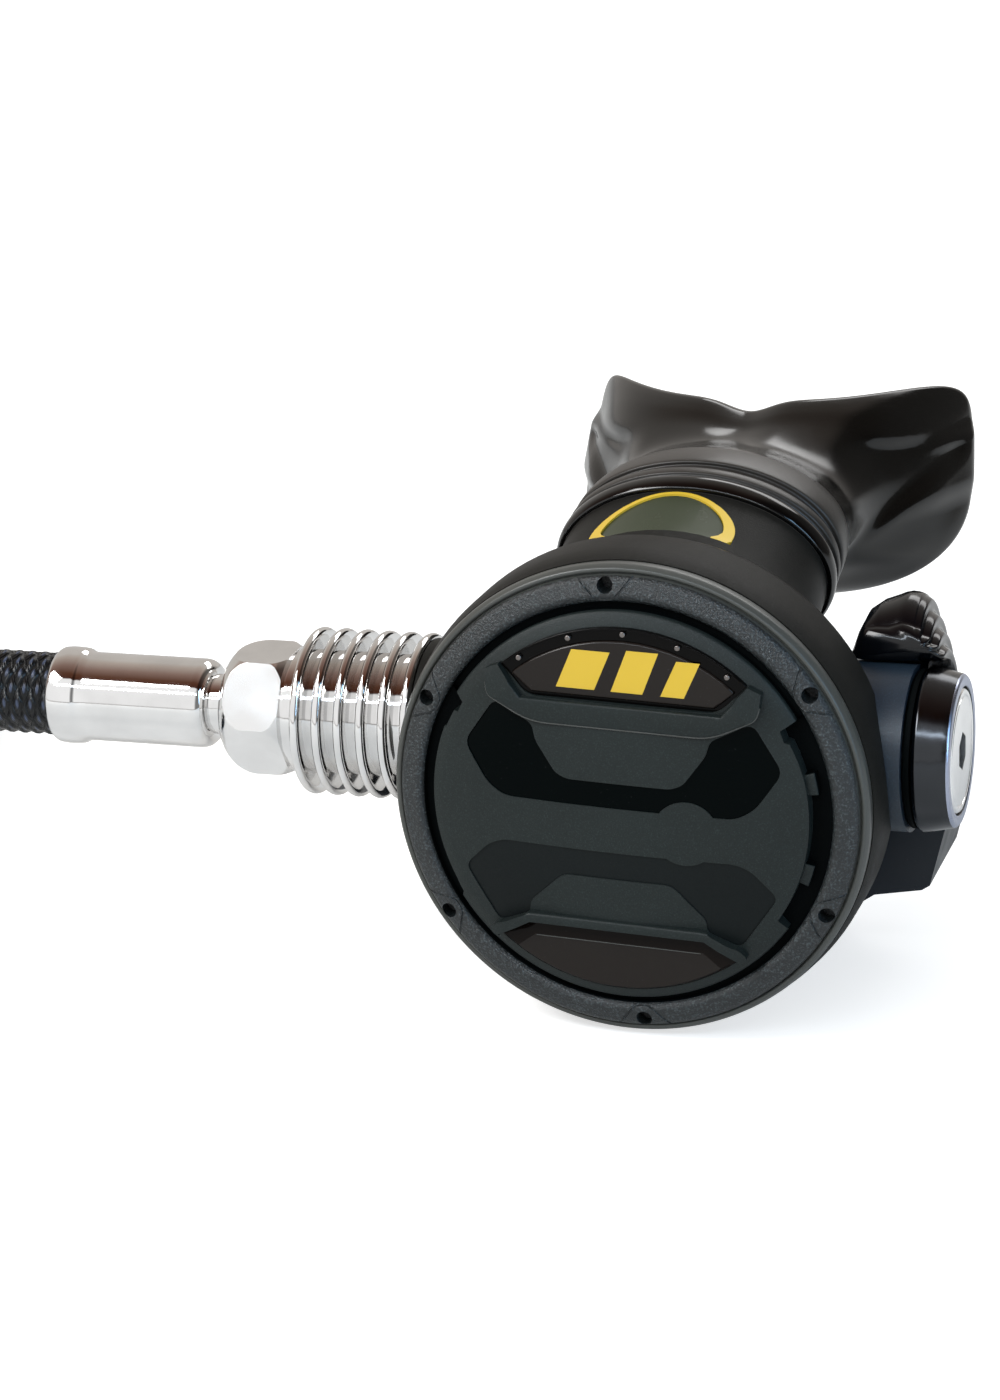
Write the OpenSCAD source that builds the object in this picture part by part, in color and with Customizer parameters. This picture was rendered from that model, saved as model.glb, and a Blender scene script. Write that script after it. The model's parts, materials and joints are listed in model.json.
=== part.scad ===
// Second stage of a scuba regulator (demand valve) with its braided low pressure hose.
// The pieces are drawn about the cover: its axis is Y, it faces -Y, the mouthpiece is at +Y,
// the valve barrel runs along X and Z is up. stand() then sets them on the floor, and the
// origin is the middle of the second stage's footprint.

/* [Case] */
// Outer radius of the case's rim
rim_r = 35.9; // [35.9:0.1:36.2]
// Depth of the rim, measured from the ring's front
rim_back = 15; // [14:0.5:15.5]
// Distance from the ring's front to the back wall of the case
case_back = 38; // [37:0.5:39]
// Radius of the bowl that holds the mechanism
bowl_r = 28.8; // [28:0.2:29]
// Depth at which the diaphragm's bead sits
bead_seat_y = 9.5; // [9.5:0.1:9.6]

/* [Neck] */
// Tilt of the neck, up towards the mouthpiece
neck_tilt = 19.4; // [17:0.2:21]
// Half the width of the neck at its end
neck_w = 20.6; // [20:0.1:21]
// Half the height of the neck at its end
neck_h = 14.9; // [14.5:0.1:15.2]

/* [Cover ring] */
// Outer radius of the ring's smooth lip
ring_r = 35.1; // [34.8:0.1:35.4]
// Radius of the opening that the purge cover moves in
ring_bore_r = 30; // [29.8:0.1:30.2]
// Radius of the circle of spanner holes
spanner_pcd_r = 32.5; // [32:0.1:33]
// Turn of the spanner holes about the cover's axis
ring_turn = 3.8; // [-10:0.2:10]

/* [Purge cover] */
// Radius of the purge cover
purge_r = 29; // [28.8:0.1:29.2]
// Travel of the purge cover when it is pressed
purge_travel = 3.5; // [3:0.1:3.5]
// Turn of the purge cover about its axis
purge_turn = -2.2; // [-4:0.2:4]

/* [Valve barrel] */
// Distance of the barrel's axis behind the ring's front
barrel_y = 22; // [21.8:0.1:22.2]
// Height of the barrel's axis above the cover's axis
barrel_z = 4; // [3.5:0.1:4.5]
// Outer radius of the barrel
barrel_r = 7.5; // [7.4:0.1:7.5]
// Inner radius of the barrel
barrel_bore_r = 5.5; // [5.5:0.1:5.6]
// Outer radius of the cooling fins
fin_r = 12.75; // [12.5:0.05:13]
// Spacing of the cooling fins
fin_pitch = 3.46; // [3.3:0.02:3.5]
// Number of cooling fins
fin_count = 6; // [6:1:6]

/* [Hose] */
// Outer diameter of the braided hose
hose_d = 13; // [12.8:0.1:13]
// Width across the flats of the hose nut
nut_flats = 18; // [17.8:0.1:18.2]
// Radius of the first turn of the coil, on the hose's centre line
coil_r = 60; // [60:0.5:62]
// How far the coil widens in each turn
coil_pitch = 14.5; // [14.4:0.1:14.6]
// Angle that the coil turns through
coil_turn = 447; // [430:1:447]
// Major diameter of the thread for the first stage, 3/8 inch
port_thread_d = 9.53; // [9.5:0.01:9.55]

/* [Hidden] */
$fn = 96;
wall_gap = 0.05;
// Turned pieces start at this angle, clear of the barrel, the neck and the exhaust port
seam_turn = 45;

// Places along the barrel, measured on X from the cover's axis
inlet_end_x = -65;
fins_left_x = -56.6;
first_fin_x = -53.7;
fins_right_x = first_fin_x + (fin_count - 1) * fin_pitch + 0.9;
barrel_left_x = -44;
left_o_ring_x = -33.5;
crown_x = -30;
lever_pivot_x = 11;
nut_face_x = 12.9;
carrier_x = 24;
screw_x = 33.2;
boss_end_x = 37.6;
hub_x = 37.8;
collar_x = 39;
barrel_right_x = 41.2;
collar_end_x = 44.4;
lever_pivot_y = 15;

// The cover's stack, measured on Y from the ring's front
purge_front_y = -4;
ring_back_y = 6.8;
plate_front_y = ring_back_y;
plate_back_y = 8.1;
disc_front_y = 9;
disc_t = 0.8;

// The second stage's footprint and the shift that stands it on the floor
tab_back_y = 103;
mid_x = (inlet_end_x + collar_end_x) / 2;
mid_y = (purge_front_y + tab_back_y) / 2;
frame_shift = [-mid_x, -mid_y, rim_r];

// The hose, with heights measured from the floor
hose_r = hose_d / 2;
hose_axis_h = barrel_z + rim_r;
hose_rest_h = hose_r + 0.1;
fitting_rest_h = 8.1;
ferrule_end_x = -96.4;
hose_in_ferrule_x = -76;
nut_end_x = -57.4;
nut_shoulder_x = -66.3;
stem_o_ring_x = -62.3;
coil_lead_x = -195;
coil_lead_h = 20.6;
lead_slope = 0.466;
landing_r = 65;
landing_u = 44.4;
tangent_u = 29;
HOSE_ROUTE = [[-76, hose_axis_h], [-100, hose_axis_h], [-120, hose_axis_h],
    [-139.2, hose_axis_h], [-148.2, 39.3], [-157.2, 37.4], [-166.7, 33.8], [-180, 27.6],
    [coil_lead_x, coil_lead_h]];

echo(frame_shift = frame_shift);

// ---------- helpers ----------

module stand() {
    translate(frame_shift) children();
}

module on_barrel() {
    translate([0, barrel_y, barrel_z]) children();
}

// A profile of [radius, y] points turned about the cover's axis
module turned(profile, sides = 128) {
    rotate([-90, 0, 0]) rotate([0, 0, seam_turn]) rotate_extrude($fn = sides) polygon(profile);
}

// A profile of [radius, x] points turned about the barrel's axis
module barrel_turned(profile, sides = 96) {
    on_barrel() rotate([0, 90, 0]) rotate_extrude($fn = sides) polygon(profile);
}

module barrel_rod(r, x0, x1, sides = 96) {
    on_barrel() translate([x0, 0, 0]) rotate([0, 90, 0]) cylinder(r = r, h = x1 - x0, $fn = sides);
}

module barrel_tube(r, bore, x0, x1) {
    difference() {
        barrel_rod(r, x0, x1);
        barrel_rod(bore, x0 - 1, x1 + 1);
    }
}

// An outline drawn as seen from the front, [x, z], cut through from y0 to y1
module faced(outline, y0, y1) {
    translate([0, y1, 0]) rotate([90, 0, 0]) linear_extrude(y1 - y0) polygon(outline);
}

module cover_rotate(turn) {
    rotate([0, -turn, 0]) children();
}

module o_ring(major, minor) {
    rotate([0, 90, 0]) rotate_extrude($fn = 64) translate([major, 0]) circle(r = minor, $fn = 24);
}

function arc(r, from, to, steps) =
    [for (i = [0:steps]) let (a = from + (to - from) * i / steps) [r * cos(a), r * sin(a)]];

function mirrored(half) =
    concat(half, [for (i = [len(half) - 1:-1:0]) [-half[i][0], half[i][1]]]);

// An oval of n points; a power over 2 squares its corners
function oval(a, b, n, power = 2) = [for (i = [0:n - 1])
    let (t = 360 * i / n, c = cos(t), s = sin(t),
        k = pow(pow(abs(c), power) + pow(abs(s), power), -1 / power))
    [a * c * k, b * s * k]];

// Skin over a list of rings that have the same number of points; a closed skin joins its
// last ring to its first, and an open one is capped at both ends
module skin(rings, closed = false) {
    m = len(rings);
    n = len(rings[0]);
    last = closed ? m - 1 : m - 2;
    sides = [for (i = [0:last], j = [0:n - 1])
        let (k = (i + 1) % m, l = (j + 1) % n)
        each [[i * n + j, i * n + l, k * n + l], [i * n + j, k * n + l, k * n + j]]];
    caps = closed ? [] : [[for (j = [n - 1:-1:0]) j], [for (j = [0:n - 1]) (m - 1) * n + j]];
    polyhedron(points = [for (ring = rings) each ring], faces = concat(sides, caps), convexity = 6);
}

// A round tube swept along points
function unit(v) = v / norm(v);
function heading(path, i) =
    unit(path[min(i + 1, len(path) - 1)] - path[max(i - 1, 0)]);
function tube_ring(path, i, r, sides) =
    let (t = heading(path, i), side = unit(cross(t, [0, 0, 1])), up = cross(side, t))
    [for (j = [0:sides - 1]) let (a = 90 - 360 * j / sides)
        path[i] + r * (cos(a) * side + sin(a) * up)];
module sweep(path, r, sides) {
    skin([for (i = [0:len(path) - 1]) tube_ring(path, i, r, sides)]);
}

// ---------- case ----------

neck_axis = [0, cos(neck_tilt), sin(neck_tilt)];
neck_start = [0, 16, 14.4];
neck_end_s = 26;
spigot_end_s = 35;

NECK = [[0, 24.5, 17.2], [8, 22.3, 16.2], [16, 21.1, 15.4], [24, neck_w, neck_h],
    [neck_end_s, neck_w, neck_h]];

// Rings of an oval tube round the neck's axis, from [distance, half width, half height]
function neck_rings(stations, n = 48) = [for (st = stations)
    let (c = neck_start + st[0] * neck_axis)
    [for (p = oval(st[1], st[2], n))
        c + [p[0], -p[1] * sin(neck_tilt), p[1] * cos(neck_tilt)]]];

// Exhaust port: a seat on the lower back of the case, facing down and back
port_tilt = 45;
port_centre = [0, 34.6, -26.9];
port_r = 11;

module at_port() {
    translate(port_centre) rotate([180 + port_tilt, 0, 0]) children();
}

case_outline = [[0, 4], [35.2, 4], [35.6, 5.5], [rim_r, 8], [rim_r, rim_back], [35, 18],
    [32, 22], [29.5, 28], [26.5, 34], [24.5, 36.8], [22, case_back], [0, case_back]];

sleeve_bore_r = 9.88;
sleeve_r = 9.8;
boss_r = 12.2;

module case_body() {
    color("#23211f") stand() difference() {
        union() {
            turned(case_outline);
            skin(neck_rings(NECK));
            skin(neck_rings([[neck_end_s - 1, 19.4, 13.7], [spigot_end_s, 19.3, 13.6]]));
            barrel_rod(boss_r, 24, boss_end_x);
            barrel_rod(12, fins_right_x, -24);
            at_port() translate([0, 0, -8]) cylinder(r = port_r, h = 8);
        }
        turned([[0, 3], [33.5, 3], [33.5, bead_seat_y], [bowl_r, bead_seat_y], [bowl_r, 24],
            [26.5, 31], [23.5, 35.4], [0, 35.4]]);
        skin(neck_rings([[12, 17, 11.6], [22, 17.6, 12], [spigot_end_s + 1, 17.6, 12]]));
        barrel_rod(sleeve_bore_r, 20, boss_end_x + 1);
        barrel_rod(barrel_r + wall_gap, fins_right_x - 1, 0);
        barrel_rod(8.9, left_o_ring_x - 0.8, left_o_ring_x + 0.8);
        // Room beside the rim for the last fin
        barrel_rod(fin_r + 0.3, fins_left_x, fins_right_x);
        at_port() {
            for (i = [0:5]) rotate([0, 0, 60 * i]) translate([5.8, 0, -14]) cylinder(r = 2.4, h = 20);
            translate([0, 0, -14]) cylinder(r = 1.3, h = 20);
        }
        badge_pocket();
    }
}

// ---------- badge on the neck ----------

badge_x = -1.2;
badge_w = 11;
badge_front_y = 25;
badge_arch_y = 27.2;
badge_arch_h = 8.4;

function badge_outline(inset) = concat(
    [[-badge_w + inset * 2, badge_front_y], [badge_w - inset * 2, badge_front_y]],
    [for (i = [0:12]) let (a = 15 * i)
        [(badge_w - inset) * cos(a), badge_arch_y + (badge_arch_h - 0.65 * inset) * sin(a)]]);

function sunk(depth) = [for (st = NECK) [st[0], st[1] - depth, st[2] - depth]];

module badge_shell(depth0, depth1) {
    difference() {
        skin(neck_rings(sunk(depth0)));
        skin(neck_rings(concat([[-1, 24.8 - depth1, 17.4 - depth1]], sunk(depth1),
            [[neck_end_s + 1, neck_w - depth1, neck_h - depth1]])));
    }
}

module badge_column(inset) {
    translate([badge_x, 0, 25]) linear_extrude(20) polygon(badge_outline(inset));
}

module badge_pocket() {
    intersection() {
        badge_shell(-1, 0.8);
        badge_column(0);
    }
}

module neck_badge_frame() {
    color("#d9b93b") stand() difference() {
        intersection() {
            badge_shell(0.1, 0.8);
            badge_column(wall_gap);
        }
        badge_column(1.5);
    }
}

module neck_badge_plate() {
    color("#26341f") stand() intersection() {
        badge_shell(0.25, 0.8);
        badge_column(1.5 + wall_gap);
    }
}

// ---------- cover ----------

module cover_ring() {
    color("#3a3d40") stand() difference() {
        turned([[ring_bore_r, 0.5], [30.3, 0], [30.8, -0.3], [31.4, -0.3], [33.4, 0.3],
            [33.9, 0.9], [33.9, 1.6], [34.2, 1.6], [34.7, 2], [ring_r, 2.9], [ring_r, 4],
            [33.4, 4], [33.4, ring_back_y], [31.2, ring_back_y], [31.2, 1], [ring_bore_r, 1]]);
        cover_rotate(ring_turn) for (i = [0:5])
            rotate([0, 60 * i, 0]) translate([0, -1, spanner_pcd_r])
                rotate([-90, 0, 0]) cylinder(r = 1.15, h = 4, $fn = 32);
    }
}

module cover_plate() {
    color("#2b2c2d") stand() difference() {
        turned([[5, plate_front_y], [33.4, plate_front_y], [33.4, plate_back_y], [5, plate_back_y]]);
        for (i = [0:5]) rotate([0, 60 * i + 30, 0]) translate([0, plate_front_y - 1, 16])
            rotate([-90, 0, 0]) cylinder(r = 3.6, h = 4, $fn = 32);
        for (i = [0:11]) rotate([0, 30 * i, 0]) translate([0, plate_front_y - 1, 25])
            rotate([-90, 0, 0]) cylinder(r = 2.6, h = 4, $fn = 32);
    }
}

module diaphragm() {
    color("#5b5b58") stand()
        turned([[0, 8.2], [14.5, 8.2], [18, 8.9], [22, 10.2], [26, 10.2], [28.6, plate_back_y],
            [33.4, plate_back_y], [33.4, bead_seat_y], [28.6, bead_seat_y], [26, 11],
            [22, 11], [17.5, 9.8], [14.5, disc_front_y], [0, disc_front_y]]);
}

module diaphragm_plate() {
    color("#b9bcc0") stand()
        turned([[0, disc_front_y], [14, disc_front_y], [14, disc_front_y + disc_t],
            [0, disc_front_y + disc_t]]);
}

// Coil springs: a wire wound along +Z
module spring(r_start, r_end, length, turns, wire_r) {
    steps = turns * 12;
    path = [for (i = [0:steps]) let (k = i / steps, r = r_start + (r_end - r_start) * k)
        [r * cos(360 * turns * k), r * sin(360 * turns * k), wire_r + (length - 2 * wire_r) * k]];
    sweep(path, wire_r, 6);
}

purge_spring_front_y = -1.2;

module purge_spring() {
    color("#c5c8cc") stand() translate([0, purge_spring_front_y, 0]) rotate([-90, 0, 0])
        spring(5.8, 7.4, plate_front_y - purge_spring_front_y - 0.05, 4, 0.4);
}

// The purge cover's domed face, and the same dome sunk by a depth
dome = [[0, -4], [8, -3.85], [16, -3.3], [22, -2.55], [27, -1.5], [28.4, -0.9], [purge_r, -0.2]];

module dome_shell(depth0, depth1) {
    front = [for (p = dome) [p[0], p[1] + depth0]];
    back = [for (i = [len(dome) - 1:-1:0]) [dome[i][0], dome[i][1] + depth1]];
    turned(concat(front, back));
}

// Outlines on the purge cover, as seen from the front
upper_window = concat(arc(26.95, 48.6, 131.4, 16), [[-13.9, 16], [13.9, 16]]);
upper_lens_outline = concat(arc(25.1, 49.8, 130.2, 16), [[-13.3, 16.6], [13.3, 16.6]]);
lower_window = concat(arc(27.4, 229.2, 310.8, 16), [[12.7, -18.2], [-12.7, -18.2]]);
upper_hood = mirrored([[0, 11.8], [12.9, 11.8], [18.9, 15.3], [19.9, 19.3], [18, 20.4],
    [13.9, 15.9], [0, 15.9]]);
lower_hood = mirrored([[0, -18.1], [12.7, -18.1], [18.3, -21.2], [19.9, -20.3], [18.4, -19.1],
    [13.4, -16.9], [0, -16.9]]);
upper_inlay_outline = mirrored([[0, 0.8], [17, 0.8], [19.6, 2.4], [23.1, 8], [18.8, 14.9],
    [12.9, 11.6], [12.6, 9.8], [9.4, 5.2], [7.6, 4.4], [0, 4.4]]);
lower_inlay_outline = mirrored([[0, -10.3], [8, -10.3], [12.8, -14.9], [13.1, -16.7],
    [18.4, -18.9], [23.1, -10.7], [20.2, -7.6], [18, -6.25], [0, -6.25]]);

// The gaps at the cover's two sides, and the small tabs that stand in them
gap_r = 26.8;
gap_from = -34;
gap_to = 32;
tab_angles = [26, 13, -11, -29];

module side_gaps() {
    for (side = [0, 180]) rotate([0, side, 0])
        rotate([-90, 0, 0]) rotate([0, 0, -gap_to])
            rotate_extrude(angle = gap_to - gap_from, $fn = 128)
                polygon([[gap_r, -6], [purge_r + 1, -6], [purge_r + 1, 1.3], [gap_r, 1.3]]);
}

module side_tabs() {
    for (side = [0, 180], a = tab_angles) cover_rotate(side == 0 ? a : 180 - a)
        translate([gap_r - 1, -0.4, -0.9]) cube([2.6, 2, 1.8]);
}

module purge_cover() {
    color("#35383a") stand() cover_rotate(purge_turn) {
        difference() {
            union() {
                turned(concat(dome, [[purge_r, 1.3], [30.8, 1.3], [30.8, 2.5], [27.5, 2.5],
                    [26.3, 1.6], [20, -0.4], [10, -1.2], [3.5, -1.2], [3.5, 7.9], [0, 7.9]]));
                faced(upper_hood, -3.9, -2);
                faced(lower_hood, -3.9, -1.5);
            }
            faced(upper_window, -6, -1.3);
            faced(lower_window, -6, -1.2);
            pocket(upper_inlay_outline);
            pocket(lower_inlay_outline);
            side_gaps();
        }
        side_tabs();
    }
}

module pocket(outline) {
    intersection() {
        dome_shell(-3, 0.8);
        faced(outline, -6, 1);
    }
}

module inlay(outline) {
    stand() cover_rotate(purge_turn) intersection() {
        dome_shell(0.2, 0.8);
        faced(outline, -6, 1);
    }
}

module upper_inlay() {
    color("#0a0b0c") inlay(upper_inlay_outline);
}

module lower_inlay() {
    color("#232627") inlay(lower_inlay_outline);
}

module upper_bezel() {
    color("#0b0a0a") stand() cover_rotate(purge_turn) difference() {
        faced(upper_window, -2.2, -1.3);
        faced(upper_lens_outline, -3, -1);
    }
}

module upper_lens() {
    color("#2b2320") stand() cover_rotate(purge_turn) faced(upper_lens_outline, -2.6, -1.3);
}

module lower_lens() {
    color("#1d1815") stand() cover_rotate(purge_turn) faced(lower_window, -1.9, -1.2);
}

// ---------- valve ----------

lever_slot_z = 3.9;

module valve_barrel() {
    color("#c9ccd0") stand() {
        difference() {
            union() {
                barrel_rod(barrel_r, barrel_left_x, barrel_right_x);
                for (s = [-1, 1]) translate([lever_pivot_x - 1.8, 13.4, barrel_z + s * 4.8 - 0.8])
                    cube([3.6, 5, 1.6]);
            }
            barrel_rod(barrel_bore_r, barrel_left_x - 1, barrel_right_x + 1);
            translate([-5, 10, barrel_z - lever_slot_z]) cube([21, 8, 2 * lever_slot_z]);
            translate([lever_pivot_x, lever_pivot_y, barrel_z - 8]) cylinder(r = 0.98, h = 16, $fn = 32);
            translate([-2, barrel_y, barrel_z]) rotate([-90, 0, 0]) cylinder(r = 3, h = 10, $fn = 48);
        }
    }
}

function fin(x) = [[9.4, x - 0.85], [11.9, x - 0.8], [12.5, x - 0.6], [fin_r, x],
    [12.5, x + 0.6], [11.9, x + 0.8], [9.4, x + 0.85]];

module heat_sink() {
    color("#d4d7da") stand() difference() {
        barrel_turned(concat([[0, inlet_end_x], [6.7, inlet_end_x], [7.1, inlet_end_x + 0.5],
            [7.1, fins_left_x], [9.4, fins_left_x]],
            [for (i = [0:fin_count - 1]) each fin(first_fin_x + i * fin_pitch)],
            [[9.4, fins_right_x], [0, fins_right_x]]));
        barrel_rod(5.4, inlet_end_x - 1, barrel_left_x);
        barrel_rod(barrel_r, barrel_left_x, fins_right_x + 1);
    }
}

module orifice() {
    color("#c8b26a") stand() difference() {
        barrel_turned([[0, -42], [5.45, -42], [5.45, -38.4], [4.3, -38.4], [4.3, -36.6],
            [5.45, -36.6], [5.45, -34], [3.6, -32], [2.4, crown_x], [0, crown_x]]);
        barrel_rod(1.7, -43, crown_x + 1, 48);
    }
}

module orifice_o_ring() {
    color("#111111") stand() on_barrel() translate([-37.5, 0, 0]) o_ring(4.9, 0.58);
}

seat_t = 1.6;
tail_r = 2;
poppet_head_x = crown_x + seat_t;

module poppet() {
    color("#d8d8d2") stand() difference() {
        barrel_turned([[0, poppet_head_x], [3.7, poppet_head_x], [3.7, crown_x + 0.6],
            [5.42, crown_x + 0.6], [5.42, -24], [2.2, -21], [2.2, nut_face_x], [tail_r, nut_face_x],
            [tail_r, 26.6], [1.5, 26.6], [1.5, 27.8], [tail_r, 27.8], [tail_r, 30], [0, 30]]);
        for (a = [0, 90, 180, 270]) on_barrel() rotate([a, 0, 0])
            translate([crown_x - 1, 4.4, -3]) cube([8, 3, 6]);
    }
}

module poppet_seat() {
    color("#1c1c1c") stand() barrel_rod(3.65, crown_x, poppet_head_x, 48);
}

module poppet_nut() {
    color("#c9ccd0") stand() difference() {
        on_barrel() translate([nut_face_x, 0, 0]) rotate([0, 90, 0]) cylinder(r = 5.2, h = 2.5, $fn = 6);
        barrel_rod(tail_r, nut_face_x - 1, nut_face_x + 4, 48);
    }
}

module tail_o_ring() {
    color("#111111") stand() on_barrel() translate([27.2, 0, 0]) o_ring(1.78, 0.27);
}

module poppet_spring() {
    color("#c5c8cc") stand() on_barrel() translate([nut_face_x + 2.55, 0, 0]) rotate([0, 90, 0])
        spring(3.2, 3.2, carrier_x - nut_face_x - 2.6, 5, 0.35);
}

module spring_carrier() {
    color("#b98f3a") stand() difference() {
        barrel_rod(5.4, carrier_x, screw_x - 0.3);
        barrel_rod(tail_r + 0.08, carrier_x - 1, 31.5, 48);
    }
}

module demand_lever() {
    color("#c9ccd0") stand() {
        translate([lever_pivot_x, lever_pivot_y, barrel_z - 5.4]) cylinder(r = 0.9, h = 10.8, $fn = 32);
        // Arm to the middle of the diaphragm, in the plane z = barrel_z
        translate([0, 0, barrel_z - 1.6]) linear_extrude(3.2)
            polygon([[lever_pivot_x + 0.9, lever_pivot_y - 0.5], [lever_pivot_x, lever_pivot_y + 0.9],
                [0.6, 11.5], [-1.8, 11.2], [-2, 10.2], [-1.2, 9.9], [-0.2, 10.05], [1.2, 10.5]]);
        // Two feet that push the poppet's nut
        for (s = [-1, 1]) translate([0, 0, barrel_z + s * 3 - 0.55]) linear_extrude(1.1)
            polygon([[lever_pivot_x - 0.8, lever_pivot_y - 0.4], [lever_pivot_x + 0.8, lever_pivot_y - 0.4],
                [nut_face_x - 0.1, 19.3], [nut_face_x - 1.2, 19.3]]);
    }
}

module barrel_o_ring_left() {
    color("#111111") stand() on_barrel() translate([left_o_ring_x, 0, 0]) o_ring(8.2, 0.65);
}

module barrel_o_ring_right() {
    color("#111111") stand() on_barrel() translate([40.45, 0, 0]) o_ring(8.2, 0.65);
}

module barrel_nut() {
    color("#191b1e") stand() difference() {
        barrel_turned([[0, collar_x], [11.6, collar_x], [12.15, collar_x + 0.6],
            [11.15, collar_end_x - 0.4], [10.8, collar_end_x], [0, collar_end_x]]);
        barrel_rod(barrel_r, collar_x - 1, barrel_right_x);
        barrel_rod(8.9, 39.7, barrel_right_x);
        barrel_rod(9.33, barrel_right_x, collar_end_x + 1);
    }
}

module adjust_screw() {
    color("#e3e5e7") stand() difference() {
        barrel_turned([[0, screw_x], [5.42, screw_x], [5.42, 36], [4.4, 36], [4.4, 37.4],
            [5.42, 37.4], [5.42, barrel_right_x + 0.1], [9.25, barrel_right_x + 0.1],
            [9.25, collar_end_x - 0.3], [8.95, collar_end_x], [0, collar_end_x]]);
        on_barrel() translate([collar_end_x - 4, 0, 0]) rotate([0, 90, 0])
            cylinder(r = 2.9, h = 5, $fn = 6);
    }
}

module screw_o_ring() {
    color("#111111") stand() on_barrel() translate([36.7, 0, 0]) o_ring(4.9, 0.48);
}

// ---------- venturi lever ----------

pad_in_r = 12.6;
pad_out_r = 24.6;
pad_from = 10;
pad_to = 82;
pad_ribs = 4;

// Cross-section of the pad at an angle from the vertical: [x, radius] points
function pad_section(grow, bump) = [
    [40.7, pad_in_r], [40.9 + bump * 0.6, pad_in_r + 4.5 * grow],
    [39.8 + bump * 0.6, 13.8 + (pad_out_r - 15.4) * grow + bump],
    [38 + bump * 0.5, 14 + (pad_out_r - 14) * grow + bump],
    [34.6, 14.4 + (pad_out_r - 14.8) * grow + bump], [30.2 + bump * 0.3, pad_in_r + 1.2 + 5.8 * grow],
    [27 + 2 * (1 - grow), pad_in_r + 1.2], [28, pad_in_r]];

function pad_ring(a, grow, bump) = [for (p = pad_section(grow, bump))
    [p[0], p[1] * sin(a), p[1] * cos(a)]];

function rib_bump(k) = 0.75 * pow(abs(cos(180 * pad_ribs * k)), 3);

module venturi_lever() {
    pad_steps = 24;
    color("#0d0e10") stand() {
        barrel_tube(sleeve_r, barrel_r + 0.08, 24, hub_x);
        barrel_tube(11.6, barrel_r + 0.08, hub_x, hub_x + 1);
        on_barrel() {
            skin([for (i = [0:pad_steps])
                let (k = i / pad_steps, grow = pow(sin(12 + 156 * k), 0.35))
                pad_ring(pad_from + (pad_to - pad_from) * k, grow, rib_bump(k))]);
            // Web from the hub up to the pad
            rotate([-46, 0, 0]) translate([hub_x, -6, 10]) cube([1, 12, 4.5]);
        }
    }
}

module venturi_vane() {
    color("#2a2c2e") stand() {
        difference() {
            barrel_rod(10.4, 20.4, 24);
            barrel_rod(barrel_r + 0.08, 20, 25);
        }
        on_barrel() rotate([-42, 0, 0]) translate([6, -0.8, 8.2]) cube([15, 1.6, 3]);
    }
}

// ---------- exhaust ----------

module exhaust_valve() {
    color("#1a1a1a") stand() at_port() {
        translate([0, 0, 0.05]) cylinder(r = port_r - 1.8, h = 0.9);
        translate([0, 0, -6]) cylinder(r = 1.2, h = 6.2, $fn = 32);
        translate([0, 0, -7]) cylinder(r = 2, h = 1.9, $fn = 32);
    }
}

tee_front_y = 34;
tee_back_y = 56;
tee_wall = 1.8;

// The tee's right half as seen from the front
tee_wing = [[0, -rim_r], [13, -rim_r], [19, -33.6], [26.5, -25.4], [29, -23.7], [36.2, -22.4],
    [37.4, -21.6], [39.7, -12.4], [39, -11.4], [24, -11.4], [17, -16], [0, -16]];
tee_hollow = [[0, -34.3], [12.3, -34.3], [17.8, -32.2], [25.4, -23.8], [28.4, -21.9],
    [35.8, -20.6], [37.5, -13.2], [24.6, -13.2], [16.4, -18], [0, -18]];

module exhaust_tee() {
    color("#16191d") stand() difference() {
        union() {
            faced(mirrored(tee_wing), tee_front_y, tee_back_y);
            intersection() {
                faced(mirrored(tee_wing), 20, tee_front_y);
                translate([-17, 19, -40]) cube([34, 30, 40]);
            }
        }
        faced(mirrored(tee_hollow), tee_front_y + tee_wall, tee_back_y - tee_wall);
        intersection() {
            faced(mirrored(tee_hollow), 21.8, tee_front_y + tee_wall + 1);
            translate([-15.2, 20, -40]) cube([30.4, 30, 40]);
        }
        // Outlets at the backs of the wings
        for (s = [-1, 1]) translate([s * 32 - 5, tee_back_y - 5, -22]) cube([10, 10, 8.4]);
        turned([for (p = case_outline) [p[0] == 0 ? 0 : p[0] + wall_gap, p[1] == 4 ? 3 : p[1] + wall_gap]]);
        at_port() translate([0, 0, -10]) cylinder(r = port_r + wall_gap, h = 10);
    }
}

// ---------- mouthpiece ----------

// Stations of the mouthpiece's skin: [centre y, centre z, tilt, half width, half height,
// power of the oval below, power above, bend of the wings, dip at the middle of the top]
wing_bend = 21.2;
wing_bend_x = 32;
wing_sweep = 0.0326;
wing_taper = 0.0027;
flange_z = 26;

function bend(x, rise) = wing_bend * pow(abs(x) / wing_bend_x, 2.8) * (1 + wing_sweep * rise);

function mouth_ring(st, n = 60) = [for (i = [0:n - 1])
    let (power = i < n / 2 ? st[6] : st[5], p = oval(st[3], st[4], n, power)[i],
        x = p[0] * (1 - st[7] * wing_taper * p[1]),
        dip = i < n / 2 ? st[8] * exp(-pow(x / 4.6, 2)) : 0, rise = p[1] - dip)
    [x, st[0] - rise * sin(st[2]) + st[7] * bend(x, rise), st[1] + rise * cos(st[2])]];

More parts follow.
